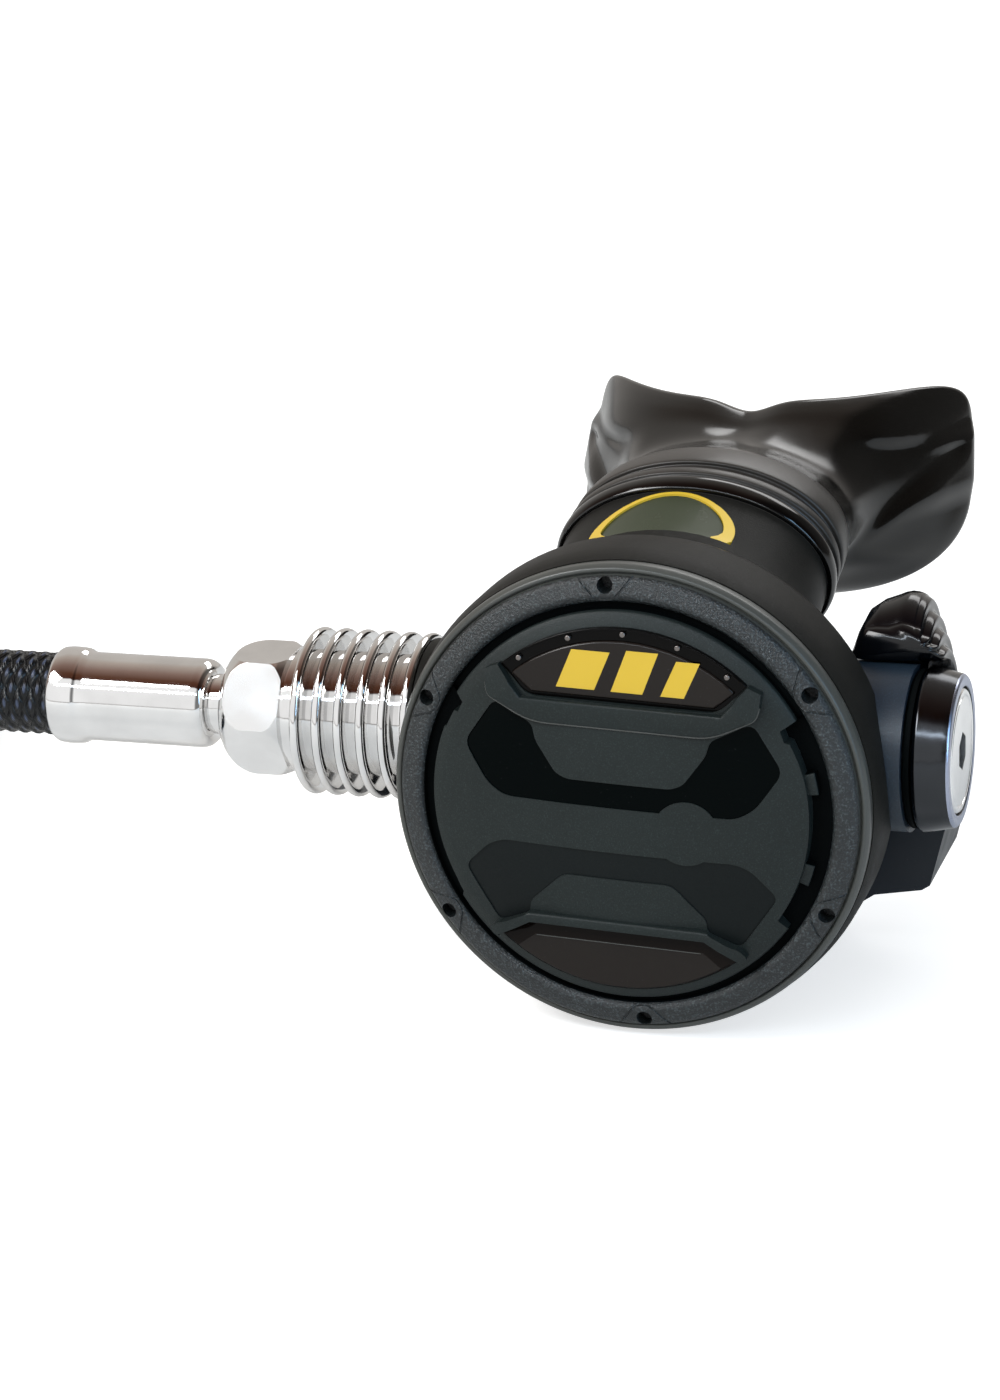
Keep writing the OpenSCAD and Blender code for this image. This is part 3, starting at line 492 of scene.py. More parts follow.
# Slot, colour, grain size, flecks, least and most roughness, bump and specular level
MOULDED = [
    ("case_plastic", (0.0120, 0.0114, 0.0098), 0.00028, 0.35, 0.42, 0.52, 0.00004, 0.08),
    # The ring's flecks are set high, so that its band is speckled with painted glints
    ("ring_plastic", (0.0085, 0.0105, 0.0110), 0.00032, 8.0, 0.26, 0.36, 0.0002),
    # A grey far paler than the ring's plastic, for the ring's lip and fine beads: a painted highlight
    ("painted_highlight_grey", (0.052, 0.054, 0.048), 0.0003, 0.2, 0.3, 0.36, 0.00001),
    ("boss_satin", (0.012, 0.022, 0.034), 0.00024, 1.0, 0.32, 0.42, 0.00003),
    ("purge_plastic", (0.0098, 0.0138, 0.0130), 0.00022, 1.3, 0.4, 0.52, 0.00005, 0.25),
    ("inlay_matte", (0.0045, 0.0065, 0.0065), 0.00016, 0.4, 0.42, 0.55, 0.00002, 0.15),
    ("grille_plastic", (0.012, 0.012, 0.013), 0.0003, 0.2, 0.5, 0.65, 0.00003, 0.25),
    # A near-black finish that paints shade into gaps and recesses: painted shade, not a material of the object
    ("painted_shade_black", (0.0012, 0.0020, 0.0022), 0.0003, 0.2, 0.6, 0.7, 0.00002, 0.04),
    ("white_acetal", (0.72, 0.72, 0.69), 0.0004, 0.05, 0.4, 0.5, 0.00001),
    ("amber_plastic", (0.45, 0.27, 0.07), 0.0004, 0.1, 0.35, 0.5, 0.00001),
    ("black_rubber", (0.010, 0.010, 0.010), 0.0003, 0.2, 0.5, 0.7, 0.00002, 0.3),
    ("clear_silicone", (0.25, 0.25, 0.24), 0.0004, 0.1, 0.35, 0.5, 0.00001),
    ("mouth_band", (0.026, 0.0225, 0.019), 0.0003, 0.15, 0.34, 0.42, 0.00001, 0.45)]
# Slot, colour, roughness of the polish, smears, dust and specular level
POLISHED = [
    ("inlay_gloss", (0.0006, 0.0016, 0.0016), 0.06, 0.05, 0.03, 0.035),
    ("window_plastic", (0.014, 0.0105, 0.0085), 0.1, 0.05, 0.04, 0.2),
    # A darker copy of the lens plastic for the lens's sloping edge: painted shade
    ("lens_edge_painted_shade", (0.0050, 0.0030, 0.0022), 0.12, 0.05, 0.04, 0.1),
    ("frame_gloss", (0.0014, 0.0011, 0.0009), 0.12, 0.08, 0.03, 0.1),
    ("clamp_gloss", (0.0014, 0.0014, 0.0013), 0.08, 0.06, 0.03),
    ("lever_plastic", (0.0010, 0.0014, 0.0022), 0.13, 0.08, 0.03, 0.4),
    ("exhaust_plastic", (0.0075, 0.0115, 0.0170), 0.3, 0.14, 0.05, 0.3),
    ("mouth_silicone", (0.0024, 0.0021, 0.0016), 0.13, 0.1, 0.03, 0.42),
    ("badge_yellow", (0.66, 0.43, 0.030), 0.3, 0.1, 0.02),
    ("badge_field", (0.030, 0.038, 0.018), 0.2, 0.1, 0.02, 0.3)]
# Slot, colour, least and most roughness, pitch of the tool marks and bump
METAL = [
    ("chrome", (0.84, 0.835, 0.83), 0.04, 0.08, 0.0002, 0.0000004),
    ("anodised", (0.050, 0.053, 0.058), 0.14, 0.22, 0.00012, 0.0000008),
    ("rim_metal", (0.42, 0.46, 0.58), 0.25, 0.35, 0.00015, 0.0000006),
    ("end_metal", (0.99, 0.995, 1.0), 0.16, 0.22, 0.0002, 0.0000003),
    ("steel", (0.56, 0.57, 0.58), 0.18, 0.3, 0.00015, 0.0000006),
    ("steel_dark", (0.20, 0.18, 0.17), 0.25, 0.4, 0.00015, 0.0000006),
    ("plain_brass", (0.62, 0.46, 0.18), 0.2, 0.32, 0.00015, 0.0000006)]
for make, rows in ((moulded, MOULDED), (polished, POLISHED), (metal, METAL)):
    for row in rows:
        make(*row)
FINISH["clear_silicone"].node_tree.nodes["Principled BSDF"].inputs["Transmission Weight"].default_value = 0.3


# ---------- hose, from its ferrule down to the floor and round its coil ----------

HOSE_R = 6.5
RIM_R = 35.9
HOSE_REST_H = HOSE_R + 0.1
FITTING_REST_H = 8.1
HOSE_ROUTE = [(-76, 39.9), (-100, 39.9), (-120, 39.9), (-139.2, 39.9), (-148.2, 39.3), (-157.2, 37.4),
              (-166.7, 33.8), (-180, 27.6)]
LEAD_X, LEAD_H, LEAD_SLOPE = -195, 20.6, 0.466
LANDING_R, LANDING_U, LANDING_RUN, TANGENT_U = 65, 44.4, 27.4, 29
COIL_R, COIL_PITCH, COIL_TURN = 60, 14.5, 447
ARC_MID_R = COIL_R + COIL_PITCH * COIL_TURN / 720
TAIL_LEN, FITTING_RISE = 13, 60
COIL_CENTRE = (LEAD_X - TANGENT_U, BARREL.y + COIL_R)


def landing_h(u):
    """Height of the hose's middle over the floor, at a distance past the start of its straight slope."""
    if u < LANDING_U - LANDING_RUN:
        return LEAD_H - LEAD_SLOPE * u
    if u < LANDING_U:
        return HOSE_REST_H + LANDING_R - math.sqrt(LANDING_R ** 2 - (LANDING_U - u) ** 2)
    return HOSE_REST_H


def coil_at(turn):
    """A point of the coil, which spirals out. Its end rises a little, to where the fitting rests."""
    a = math.radians(turn)
    r = COIL_R + COIL_PITCH * turn / 360
    left = math.radians(COIL_TURN - turn) * ARC_MID_R
    lift = (FITTING_REST_H - HOSE_REST_H) * eased(1 - left / FITTING_RISE)
    return Vector((COIL_CENTRE[0] - r * math.sin(a), COIL_CENTRE[1] - r * math.cos(a),
                   landing_h(TANGENT_U + a * COIL_R) + lift - RIM_R))


def evenly(points, step):
    """The same line with its points a step apart."""
    reach = [0.0]
    for a, b in zip(points, points[1:]):
        reach.append(reach[-1] + (b - a).length)
    count = round(reach[-1] / step)
    out, i = [], 0
    for k in range(count + 1):
        want = reach[-1] * k / count
        while i < len(points) - 2 and reach[i + 1] < want:
            i += 1
        out.append(points[i].lerp(points[i + 1], (want - reach[i]) / (reach[i + 1] - reach[i])))
    return out, reach[-1]


COIL_OUT = Vector((-math.cos(math.radians(COIL_TURN)), math.sin(math.radians(COIL_TURN)), 0))
route = [Vector((x, BARREL.y, h - RIM_R)) for x, h in HOSE_ROUTE]
route += [Vector((LEAD_X - u, BARREL.y, landing_h(u) - RIM_R)) for u in (0, 8, 16, 22, 28)]
route += [coil_at(COIL_TURN * i / 30) for i in range(31)]
route.append(coil_at(COIL_TURN) + TAIL_LEN * COIL_OUT)

STRANDS, STRAND_PITCH, YARNS = 8, 2.2, 5
BRAID_DEPTH = 0.55
SIDES = 64
LINE_STEP = 0.55
hose_line, hose_length = evenly(through(route, 12), LINE_STEP)


def braid_height(around, along):
    """Height of the braid, 0 to 1: two sets of strands cross, one over and one under the other."""
    a = STRANDS * around + along / STRAND_PITCH
    b = STRANDS * around - along / STRAND_PITCH
    over = (math.floor(a) + math.floor(b)) % 2 == 0
    across, lengthwise = (a, b) if over else (b, a)
    ridge = math.sin(math.pi * (across % 1)) ** 0.7
    crown = 0.35 + 0.65 * math.sin(math.pi * (lengthwise % 1))
    return ridge * crown


def braided_r(ring, corner):
    return HOSE_R - BRAID_DEPTH * (1 - braid_height((corner + 0.5) / SIDES, (ring + 0.5) * LINE_STEP))


def braid_finish():
    """Black braided nylon: crossing strands with their yarns, black between and painted a pale cool colour on their
    crowns, a painted highlight of their glints.
    """
    n, shader, place = start_finish("braid", 0.35)
    split = n.add("ShaderNodeSeparateXYZ")
    n.link(n.add("ShaderNodeUVMap", uv_map="UVMap").outputs[0], split.inputs[0])
    around = n.math("MULTIPLY", split.outputs["X"], STRANDS)
    along = n.math("MULTIPLY", split.outputs["Y"], hose_length / STRAND_PITCH)
    one, other = n.math("ADD", around, along), n.math("SUBTRACT", around, along)
    cell = n.math("ADD", n.math("FLOOR", one), n.math("FLOOR", other))
    under = n.math("FLOORED_MODULO", cell, 2.0)
    over = n.math("SUBTRACT", 1.0, under)
    across = n.math("ADD", n.math("MULTIPLY", one, over), n.math("MULTIPLY", other, under))
    lengthwise = n.math("ADD", n.math("MULTIPLY", one, under), n.math("MULTIPLY", other, over))
    ridge, crown = (n.math("SINE", n.math("MULTIPLY", n.math("FRACT", way), math.pi)) for way in (across, lengthwise))
    top = n.math("MULTIPLY", ridge, crown)
    yarn = n.math("SINE", n.math("MULTIPLY", across, math.tau * YARNS))
    got = use_group(n, GRAIN, place, Grain_size=0.0002, Base=(0.0016, 0.0020, 0.0024, 1), Fleck=1.0, Low=0.24,
                    High=0.36)
    # The crowns of the strands are painted pale blue: a painted highlight
    shade = n.blend(n.ramp(top, 0.72, 1.0), got["Color"], (0.05, 0.065, 0.11))
    height = n.math("ADD", n.math("POWER", top, 0.6), n.math("MULTIPLY", yarn, 0.06))
    cover_shader(n, shader, shade, got["Roughness"], height, 0.0004)


braid_finish()
braided = wrapped(rod_rings(hose_line, (0, 0, 1), braided_r, SIDES))
hose = piece("braided_hose", braided, "braid", ["hose", "hose_coil"], sharp=180)

# ---------- metal fittings ----------

FERRULE_X, FERRULE_BORE_LEN = -96.4, 20.4
FERRULE = [(6.95, 0), (7.4, 0.5), (7.55, 2), (7.4, 4.2), (7, 4.9), (6.85, 5.6), (6.85, 24), (6.6, 24.9), (5.9, 25.7),
           (4.7, 26)]
FIN_X, FIN_PITCH, FIN_COUNT, FIN_R = -53.7, 3.46, 6, 12.75
NUT_FLATS, NUT_TURN = 18, math.radians(27)


def sided_rod(radius, sides, turn, x0, x1):
    """A sided rod along the barrel, its first corner straight down before it is turned."""
    bm = bmesh.new()
    corners = []
    for i in range(sides):
        a = math.tau * i / sides - turn
        corners.append(bm.verts.new((x0, BARREL.y + radius * math.sin(a), BARREL.z - radius * math.cos(a))))
    extruded(bm, [bm.faces.new(corners)], (x1 - x0, 0, 0))
    return bm


def barrel_turned(profile, steps=192):
    return spun(profile, steps, "x", BARREL)


def hose_ferrule():
    outside = [(r, FERRULE_X + x) for r, x in softened(FERRULE, 0.6, 3)]
    inside = [(4.6, FERRULE_X + 26), (4.6, FERRULE_X + FERRULE_BORE_LEN), (6.6, FERRULE_X + FERRULE_BORE_LEN),
              (6.6, FERRULE_X)]
    piece("hose_ferrule_finished", barrel_turned(outside + inside), "chrome", ["hose_ferrule"])


def hose_nut():
    chamfer = softened([(6.0, -68.25), (8.2, -67.3), (9.7, -65.6), (10.4, -63.6), (10.4, -59), (9.4, -57.4)], 1.2, 4)
    body = barrel_turned([(0, -68.25)] + chamfer + [(8.7, -57.4), (8.7, -56.6), (0, -56.6)], 240)
    body = shaped(body, sided_rod(NUT_FLATS / 2 / math.cos(math.radians(30)), 6, NUT_TURN, -69, -56), "INTERSECT")
    for radius, x0, x1 in ((7.15, -66.3, -50), (5, -75, -60)):
        body = shaped(body, sided_rod(radius, 96, 0, x0, x1))
    round_edges(piece("hose_nut_finished", body, "chrome", ["hose_nut"], sharp=20), 0.18, 3, 20)


def heat_sink():
    fins = []
    for i in range(FIN_COUNT):
        x = FIN_X + i * FIN_PITCH
        fins += softened([(9.4, x - 0.85), (11.9, x - 0.8), (12.5, x - 0.6), (FIN_R, x), (12.5, x + 0.6),
                          (11.9, x + 0.8), (9.4, x + 0.85)], 0.4, 3)
    end = FIN_X + (FIN_COUNT - 1) * FIN_PITCH + 0.9
    inlet = [(5.4, -65), (6.7, -65), (7.1, -64.5), (7.1, -56.6), (9.4, -56.6)]
    root = [(9.4, end), (7.5, end), (7.5, -44), (5.4, -44)]
    piece("heat_sink_finished", barrel_turned(inlet + fins + root), "chrome", ["heat_sink"])


hose_ferrule()
hose_nut()
heat_sink()
for node in ("hose_stem", "far_ferrule", "far_fitting", "far_o_ring", "stem_o_ring"):
    joined_copy(node, 0.12 if node == "far_fitting" else 0)

# ---------- cover ring ----------

RING_TURN, HOLE_COUNT, HOLE_R, HOLE_PCD_R = 3.8, 6, 1.15, 32.5
BAND = [(30.35, -0.12), (31.1, -0.36), (33.3, 0.25), (33.75, 0.8), (34.5, 1.6)]
LIP_IN_R = 33.7
RING = softened([(31.2, 4), (31.2, 1), (30, 1), (30, 0.45), (30.35, -0.1), (31.1, -0.4), (33.3, 0.25), (33.75, 0.8),
                 (33.8, 1.9), (34.05, 1.35), (34.6, 1.3), (35.1, 2.2), (35.1, 4), (33.4, 4), (33.4, 6.8), (31.2, 6.8),
                 (31.2, 5)], 0.4, 3)
# Half a seam round a spanner hole, from its middle: distance sideways and radius
SEAM, SEAM_R = [(0, 30.38), (0.9, 30.5), (1.7, 31.0), (2.5, 31.9), (3.4, 32.9), (4.4, 33.9)], 0.19


def height_at(profile, r):
    """How far back a turned face lies at a radius."""
    for (r0, y0), (r1, y1) in zip(profile, profile[1:]):
        if r <= r1:
            return y0 + (y1 - y0) * max(0, r - r0) / (r1 - r0)
    return profile[-1][1]


def on_ring(turn, sideways, r):
    """A point of the band's face, from a distance sideways and a radius at one of the spanner holes."""
    a = math.radians(turn)
    x, z = r * math.sin(a) + sideways * math.cos(a), r * math.cos(a) - sideways * math.sin(a)
    return Vector((x, height_at(BAND, math.hypot(x, z)), z))


def cover_ring():
    tools = []
    for i in range(HOLE_COUNT):
        turn = 360 / HOLE_COUNT * i - RING_TURN
        at = on_ring(turn, 0, HOLE_PCD_R)
        tools.append(pin(HOLE_R, -1, 3, (at.x, at.z), sides=40))
        seam = [(-t, r) for t, r in SEAM[:0:-1]] + SEAM
        tools.append(bead(through([on_ring(turn, t, r) for t, r in seam], 3), SEAM_R, 6))
    ring = piece("ring_finished", shaped(spun(RING, 240), gathered(tools)),
                 ["ring_plastic", "painted_highlight_grey", "painted_shade_black"], ["cover_ring"])
    for face in ring.data.polygons:
        at = face.center * 1000 - SHIFT
        r = math.hypot(at.x, at.z)
        # The lip is painted paler than the band: a painted highlight on its rounded bead
        if r > LIP_IN_R:
            face.material_index = 1
        # The ring's inner wall, deep in the gap beside the cover, takes the near-black finish: painted shade
        elif r < BAND[0][0] + 0.05 and at.y > 0.3:
            face.material_index = 2


cover_ring()

# ---------- purge cover ----------

PURGE_TURN = math.radians(-2.2)
DOME = [(0, -4), (8, -3.85), (16, -3.3), (22, -2.55), (27, -1.5), (28.4, -0.9), (29, -0.2)]
POCKET_DEPTH, INLAY_DEPTH, HOOD_RISE = 0.8, 0.2, 1.7
FIELD_AT, FIELD_R = (9.8, -2.35), 4.75


def on_cover(x, y, z):
    """A point of the purge cover, which sits turned a little in its ring."""
    c, s = math.cos(PURGE_TURN), math.sin(PURGE_TURN)
    return Vector((x * c - z * s, y, x * s + z * c))


def dome_solid(depth):
    """Everything behind the cover's domed face sunk by a depth."""
    face = softened([(r, y + depth) for r, y in DOME], 2, 3)
    return spun(face + [(29, 6), (0, 6)], 160)


UPPER_WINDOW = (arc(26.95, 48.6, 131.4, 40)
                + softened([(-17.9, 20.2), (-13.9, 16), (13.9, 16), (17.9, 20.2)], 1.6)[1:-1])
LOWER_WINDOW = arc(27.4, 229.2, 310.8, 40) + [(12.9, -17.9), (-12.9, -17.9)]
LOWER_FACE = arc(26.95, 236, 304, 40) + [(12.4, -20.3), (-12.4, -20.3)]
HOOD_EDGE = softened([(0, 12.5), (13.2, 12.5), (19.5, 15.8), (19.9, 17.5)], 2.6, 6)
UPPER_HOOD = mirrored(HOOD_EDGE + [(20.0, 19.4), (18.1, 20.3), (14.6, 15.9), (0, 15.9)])
LOWER_HOOD = softened_loop(mirrored([(0, -18.1), (12.7, -18.1), (18.0, -21.1), (19.2, -20.1), (18.2, -18.9),
                                     (13.4, -16.5), (0, -16.5)]), 1.0)
UPPER_INLAY = softened_loop(mirrored([(0, 0.8), (17, 0.8), (19.6, 2.4), (23.3, 8), (18.8, 14.9), (12.9, 11.9),
                                      (12.5, 9.8), (9.3, 5.2), (7.6, 4.5), (0, 4.5)]), 1.5)
LOWER_INLAY = softened_loop(mirrored([(0, -10.0), (8, -10.0), (13, -14.9), (13.1, -16.7), (17.9, -18.9),
                                      (23.1, -10.8), (19.4, -6.9), (17, -5.9), (0, -5.9)]), 1.2)
# The steps of the cover's inner edge beside its two gaps: angle and radius
RIGHT_GAP = [(32, 28.9), (31.7, 26.5), (28, 26.3), (26.8, 26.9), (16.2, 27.1), (-18, 27.1), (-31.8, 27.1),
             (-32.6, 28.9)]
LEFT_GAP = [(149.4, 28.9), (150.4, 27.4), (153.8, 27.3), (154.2, 27.9), (159.8, 28), (160.2, 28.3), (208, 28.1),
            (213, 28.3), (214, 28.9)]
# First and last angle of the two tabs in the right gap
TABS = [(9.6, 16.2), (-18.4, -11.9)]


def gap_tool(edge):
    """What is cut away beside the cover, out from the steps of its inner edge."""
    inner = []
    for (a0, r0), (a1, r1) in zip(edge, edge[1:]):
        count = max(1, round(abs(a1 - a0) / 2))
        inner += [polar(r0 + (r1 - r0) * i / count, a0 + (a1 - a0) * i / count) for i in range(count)]
    inner.append(polar(edge[-1][1], edge[-1][0]))
    return slab(inner + arc(31, edge[-1][0], edge[0][0], 30), -6, 1.3, PURGE_TURN)


def purge_cover():
    face = softened(DOME[:-1] + [(29, -0.55), (29, 0.2)], 0.5, 3)
    body = spun(face + [(29, 1.3), (30.8, 1.3), (30.8, 2.5), (27.5, 2.5), (26.3, 1.6), (20, -0.4), (10, -1.2),
                        (3.5, -1.2), (3.5, 7.9), (0, 7.9)], 240)
    body = shaped(body, gathered([gap_tool(RIGHT_GAP), gap_tool(LEFT_GAP)]))
    for outline, y_front in ((UPPER_HOOD, -3.9), (LOWER_HOOD, -3.8)):
        hood = shaped(slab(outline, y_front, -0.3, PURGE_TURN, 0.35), dome_solid(-HOOD_RISE), "INTERSECT")
        body = shaped(body, hood, "UNION")
    for outline in (UPPER_INLAY, LOWER_INLAY):
        sunk = shaped(slab(outline, -6, 1, PURGE_TURN), dome_solid(POCKET_DEPTH))
        body = shaped(body, shaped(sunk, pin(FIELD_R, -7, 2, FIELD_AT, sides=72)))
    for outline, y_back in ((UPPER_WINDOW, -1.3), (LOWER_WINDOW, -1.2)):
        body = shaped(body, slab(outline, -6, y_back, PURGE_TURN))
    tabs = [slab(arc(28.5, start, end, 6) + arc(26.2, end, start, 6), -0.5, 1.6, PURGE_TURN, 0.25)
            for start, end in TABS]
    body = shaped(body, gathered(tabs), "UNION")
    # Faces lying deep behind the cover's face, in its gaps and on its flange, take the near-black finish: painted
    # shade
    piece("purge_cover_finished", body, ["purge_plastic", "painted_shade_black"], ["purge_cover"], "purge_button",
          second=lambda at, normal: at.y > 0.4)


def inlay(name, outline, finish):
    sheet = shaped(slab(outline, -6, 1, PURGE_TURN), dome_solid(INLAY_DEPTH), "INTERSECT")
    sheet = shaped(sheet, dome_solid(POCKET_DEPTH))
    sheet = shaped(sheet, pin(FIELD_R, -7, 2, FIELD_AT, sides=72))
    piece(name + "_finished", sheet, finish, [name], "purge_button", sharp=40)


def lower_lens():
    """The lower window's lens: a flat face inside a sloping edge. The edge is painted darker than the face: painted
    shade of the dark that it mirrors.
    """
    rings = [[on_cover(x, y, z) for x, z in line]
             for line, y in ((LOWER_WINDOW, -1.2), (LOWER_WINDOW, -1.3), (LOWER_FACE, -2.0))]
    lens = piece("lower_lens_finished", wrapped(rings), ["window_plastic", "lens_edge_painted_shade"], ["lower_lens"],
                 "purge_button", sharp=10, second=lambda at, normal: normal.y > -0.98)
    round_edges(lens, 0.18, 3, 8)


def edge_bead(name, line, y, radius, finish):
    """A fine raised line along a curve of the purge cover, no prouder than its hoods."""
    path = [on_cover(x, max(y, height_at(DOME, math.hypot(x, z)) - HOOD_RISE + 0.25), z) for x, z in line]
    piece(name, bead(path, radius), finish, body="purge_button")


def window_pin(name, angle):
    x, z = polar(26.2, angle)
    at = on_cover(x, 0, z)
    piece(name, pin(0.42, -2.85, -1.9, (at.x, at.z), rounding=0.15), "steel_dark", body="purge_button")


def printed_bar(name, left, high, width):
    """A slanted bar of yellow print on the upper window."""
    bm = bmesh.new()
    corners = [(left, BAR_LOW), (left + width, BAR_LOW), (left + width + BAR_LEAN, high), (left + BAR_LEAN, high)]
    face = bm.faces.new([bm.verts.new(on_cover(x, BAR_Y, z)) for x, z in corners])
    extruded(bm, [face], (0, 0.05, 0))
    piece(name, bm, "badge_yellow", body="purge_button")


purge_cover()
inlay("upper_inlay", UPPER_INLAY, "inlay_gloss")
inlay("lower_inlay", LOWER_INLAY, "inlay_matte")
lower_lens()
edge_bead("upper_window_bead", arc(26.75, 51, 129, 48), -2.3, 0.12, "frame_gloss")
# Pale beads along the upper hood's lower edge and along the lower lens's edge: painted highlight lines
edge_bead("upper_hood_bead", HOOD_EDGE[:0:-1] + [(-x, z) for x, z in HOOD_EDGE], -3.62, 0.15, "painted_highlight_grey")
edge_bead("lower_face_bead", [(12.1, -20.42), (-12.3, -20.42)], -1.98, 0.07, "painted_highlight_grey")
for i in range(5):
    window_pin(f"window_pin_{i + 1}", 90 + 17.6 * (i - 2))
BAR_LOW, BAR_LEAN, BAR_Y = 17.7, 2.2, -2.63
for name, left, high, width in (("left", -9.6, 23.4, 5.6), ("middle", -1.6, 23.9, 4.6), ("right", 5.6, 23.0, 3.4)):
    printed_bar("yellow_bar_" + name, left, high, width)

# ---------- adjustment screw ----------


def adjust_screw():
    """The screw with its pale end disc: a bevelled rim, a fine groove inside it and a hexagon socket."""
    face = softened([(5.42, 41.3), (9.25, 41.3), (9.25, 43.95), (8.8, 44.4), (8.2, 44.4), (8.15, 44.2), (7.95, 44.2),
                     (7.9, 44.4), (4, 44.4)], 0.12, 3)
    body = barrel_turned([(0, 33.2), (5.42, 33.2), (5.42, 36), (4.4, 36), (4.4, 37.4), (5.42, 37.4)] + face
                         + [(0, 44.4)])
    body = shaped(body, sided_rod(2.9, 6, 0, 40.4, 46))
    piece("adjust_screw_finished", body, "end_metal", ["adjust_screw"], "adjuster", sharp=20)


adjust_screw()

# ---------- mouthpiece ----------

WING_BEND, WING_BEND_X, WING_SWEEP, WING_TAPER, FLANGE_Z = 21.2, 32, 0.0326, 0.0027, 26
TAB_BACK_Y = 103
# Centre y, centre z, tilt, half width, half height, power below, power above, bend of the wings, dip
MOUTH = [(40.5, 23.05, 19.4, 20.6, 14.9, 2, 2, 0, 0), (44.2, 24.35, 19.4, 20.6, 14.85, 2, 2, 0, 0),
         (44.8, 24.5, 19, 21.4, 15.4, 2, 2, 0, 0), (46.2, 24.9, 18, 21.4, 15.2, 2, 2, 0, 0),
         (46.8, 25.1, 17, 20.5, 14.3, 2, 2, 0, 0), (47.9, 25.4, 16, 20.5, 14.2, 2, 2, 0, 0),
         (48.5, 25.5, 16, 21.4, 14.9, 2, 2, 0, 0), (53, 26.3, 13, 21.2, 14.2, 2, 2, 0, 0),
         (57, 26.8, 10, 20.2, 12.9, 2, 2, 0.05, 0), (62, 26.7, 6, 19.8, 11.6, 2, 2, 0.25, 0.1),
         (66.5, 26.4, 3, 21, 11.8, 2.1, 2.3, 0.5, 0.5), (70.5, 26.2, 0, 24.4, 13, 2.4, 3.2, 0.75, 1.1),
         (73.6, 26, 0, 28.6, 14.7, 2.8, 4.8, 0.92, 1.6), (75.4, FLANGE_Z, 0, 31.4, 15.5, 3, 6.2, 1, 1.9),
         (76.6, FLANGE_Z, 0, 31.9, 15.8, 3.1, 6.5, 1, 2), (78, FLANGE_Z, 0, 31.7, 15.6, 3.1, 6.5, 1, 2),
         (78.6, FLANGE_Z, 0, 30.8, 14.9, 3, 6, 1, 1.8), (78.2, 26.3, 0, 22, 10.8, 2.4, 2.6, 1, 1),
         (78.8, 26.5, 0, 12.4, 7, 2.2, 2.2, 1, 0), (77.6, 26.6, 0, 11, 6, 2, 2, 0.9, 0),
         (70, 26.8, 3, 11.8, 6.6, 2, 2, 0.5, 0), (62, 26.8, 6, 14.4, 8.6, 2, 2, 0.2, 0),
         (55, 26.4, 11, 17.6, 11.6, 2, 2, 0, 0), (50.2, 25.9, 15, 17.9, 12.1, 2, 2, 0, 0),
         (49.4, 26.15, 19.4, 19.4, 13.75, 2, 2, 0, 0), (40.5, 23.05, 19.4, 19.5, 13.8, 2, 2, 0, 0)]


def wing(x, rise):
    return WING_BEND * (abs(x) / WING_BEND_X) ** 2.8 * (1 + WING_SWEEP * rise)


def oval_point(t, a, b, power):
    c, s = math.cos(t), math.sin(t)
    k = (abs(c) ** power + abs(s) ** power) ** (-1 / power)
    return a * c * k, b * s * k


MOUTH_SIDES, STEP_Z, POCKET_TOP_Z, BAND_END_Y = 240, 33, 38.9, 56


def mouth_ring(row, outer, rim):
    """A section of the mouthpiece. outer and rim say how far it is on the front of the wings and on their rim."""
    y, z, tilt, a, b, below, above, bent, dip = row
    tilt = math.radians(tilt)
    ring = []
    for i in range(MOUTH_SIDES):
        t = math.tau * i / MOUTH_SIDES
        blend = 0.5 + 0.5 * math.tanh(6 * math.sin(t))
        x, up = oval_point(t, a, b, below + (above - below) * blend)
        x *= 1 - bent * WING_TAPER * up
        rise = up - (dip * math.exp(-(x / 4.6) ** 2) if up > 0 else 0)
        at = Vector((x, y - rise * math.sin(tilt) + bent * wing(x, rise), z + rise * math.cos(tilt)))
        # A pocket in the front of each wing, with a crisp upper edge, over a roll of rubber
        side = abs(x)
        pocket = (eased((side - 15) / 6) * eased((32 - side) / 2.5) * eased((at.z - 19 - 0.75 * (side - 18)) / 4)
                  * eased((POCKET_TOP_Z - 0.37 * (side - 15) - at.z) / 3))
        roll = math.exp(-((side - 22) / 8) ** 2 - ((at.z - 17.5) / 2.6) ** 2)
        at.y += outer * (3.2 * pocket - 1.1 * roll)
        # Under the step each wing stands proud
        lobe = rim * eased((side - 20) / 8) * eased((STEP_Z + 1.3 - at.z) / 2.6) * eased((at.z - 22) / 4)
        at.x += math.copysign(0.7 * lobe, at.x)
        at.y -= 2.0 * lobe
        ring.append(at)
    return ring


def mouth_skin():
    steps = 5
    rings = []
    for i, row in enumerate(through([Vector(r) for r in MOUTH], steps)):
        s = i / steps
        outer = max(0, min(1, (s - 8.5) / 2, (14 - s) / 1.2))
        rim = max(0, min(1, (s - 9.5) / 2.5, (18 - s) / 1.5))
        rings.append(mouth_ring(row, outer, rim))
    return wrapped(rings, closed=True)


def bite_tab(side):
    """A block to bite on behind a wing of the flange, with a ridge at its end."""
    rings = []
    for k in (0, 0.15, 0.3, 0.45, 0.6, 0.7, 0.8, 0.88, 0.95, 0.985, 1):
        w, h = 4.6 - 0.8 * k, 3.4 + 1.2 * k * k
        end = math.sqrt(max(0.05, 1 - max(0, (k - 0.95) / 0.05) ** 2))
        ring = []
        for i in range(32):
            px, pz = oval_point(math.tau * i / 32, w * (0.6 + 0.4 * end), h * (0.6 + 0.4 * end), 3)
            x = 21.5 - 3 * k + px
            ring.append(Vector((side * x, (1 - k) * (77.4 + wing(x, pz)) + k * TAB_BACK_Y, 26.4 + pz)))
        rings.append(ring)
    return wrapped(rings)


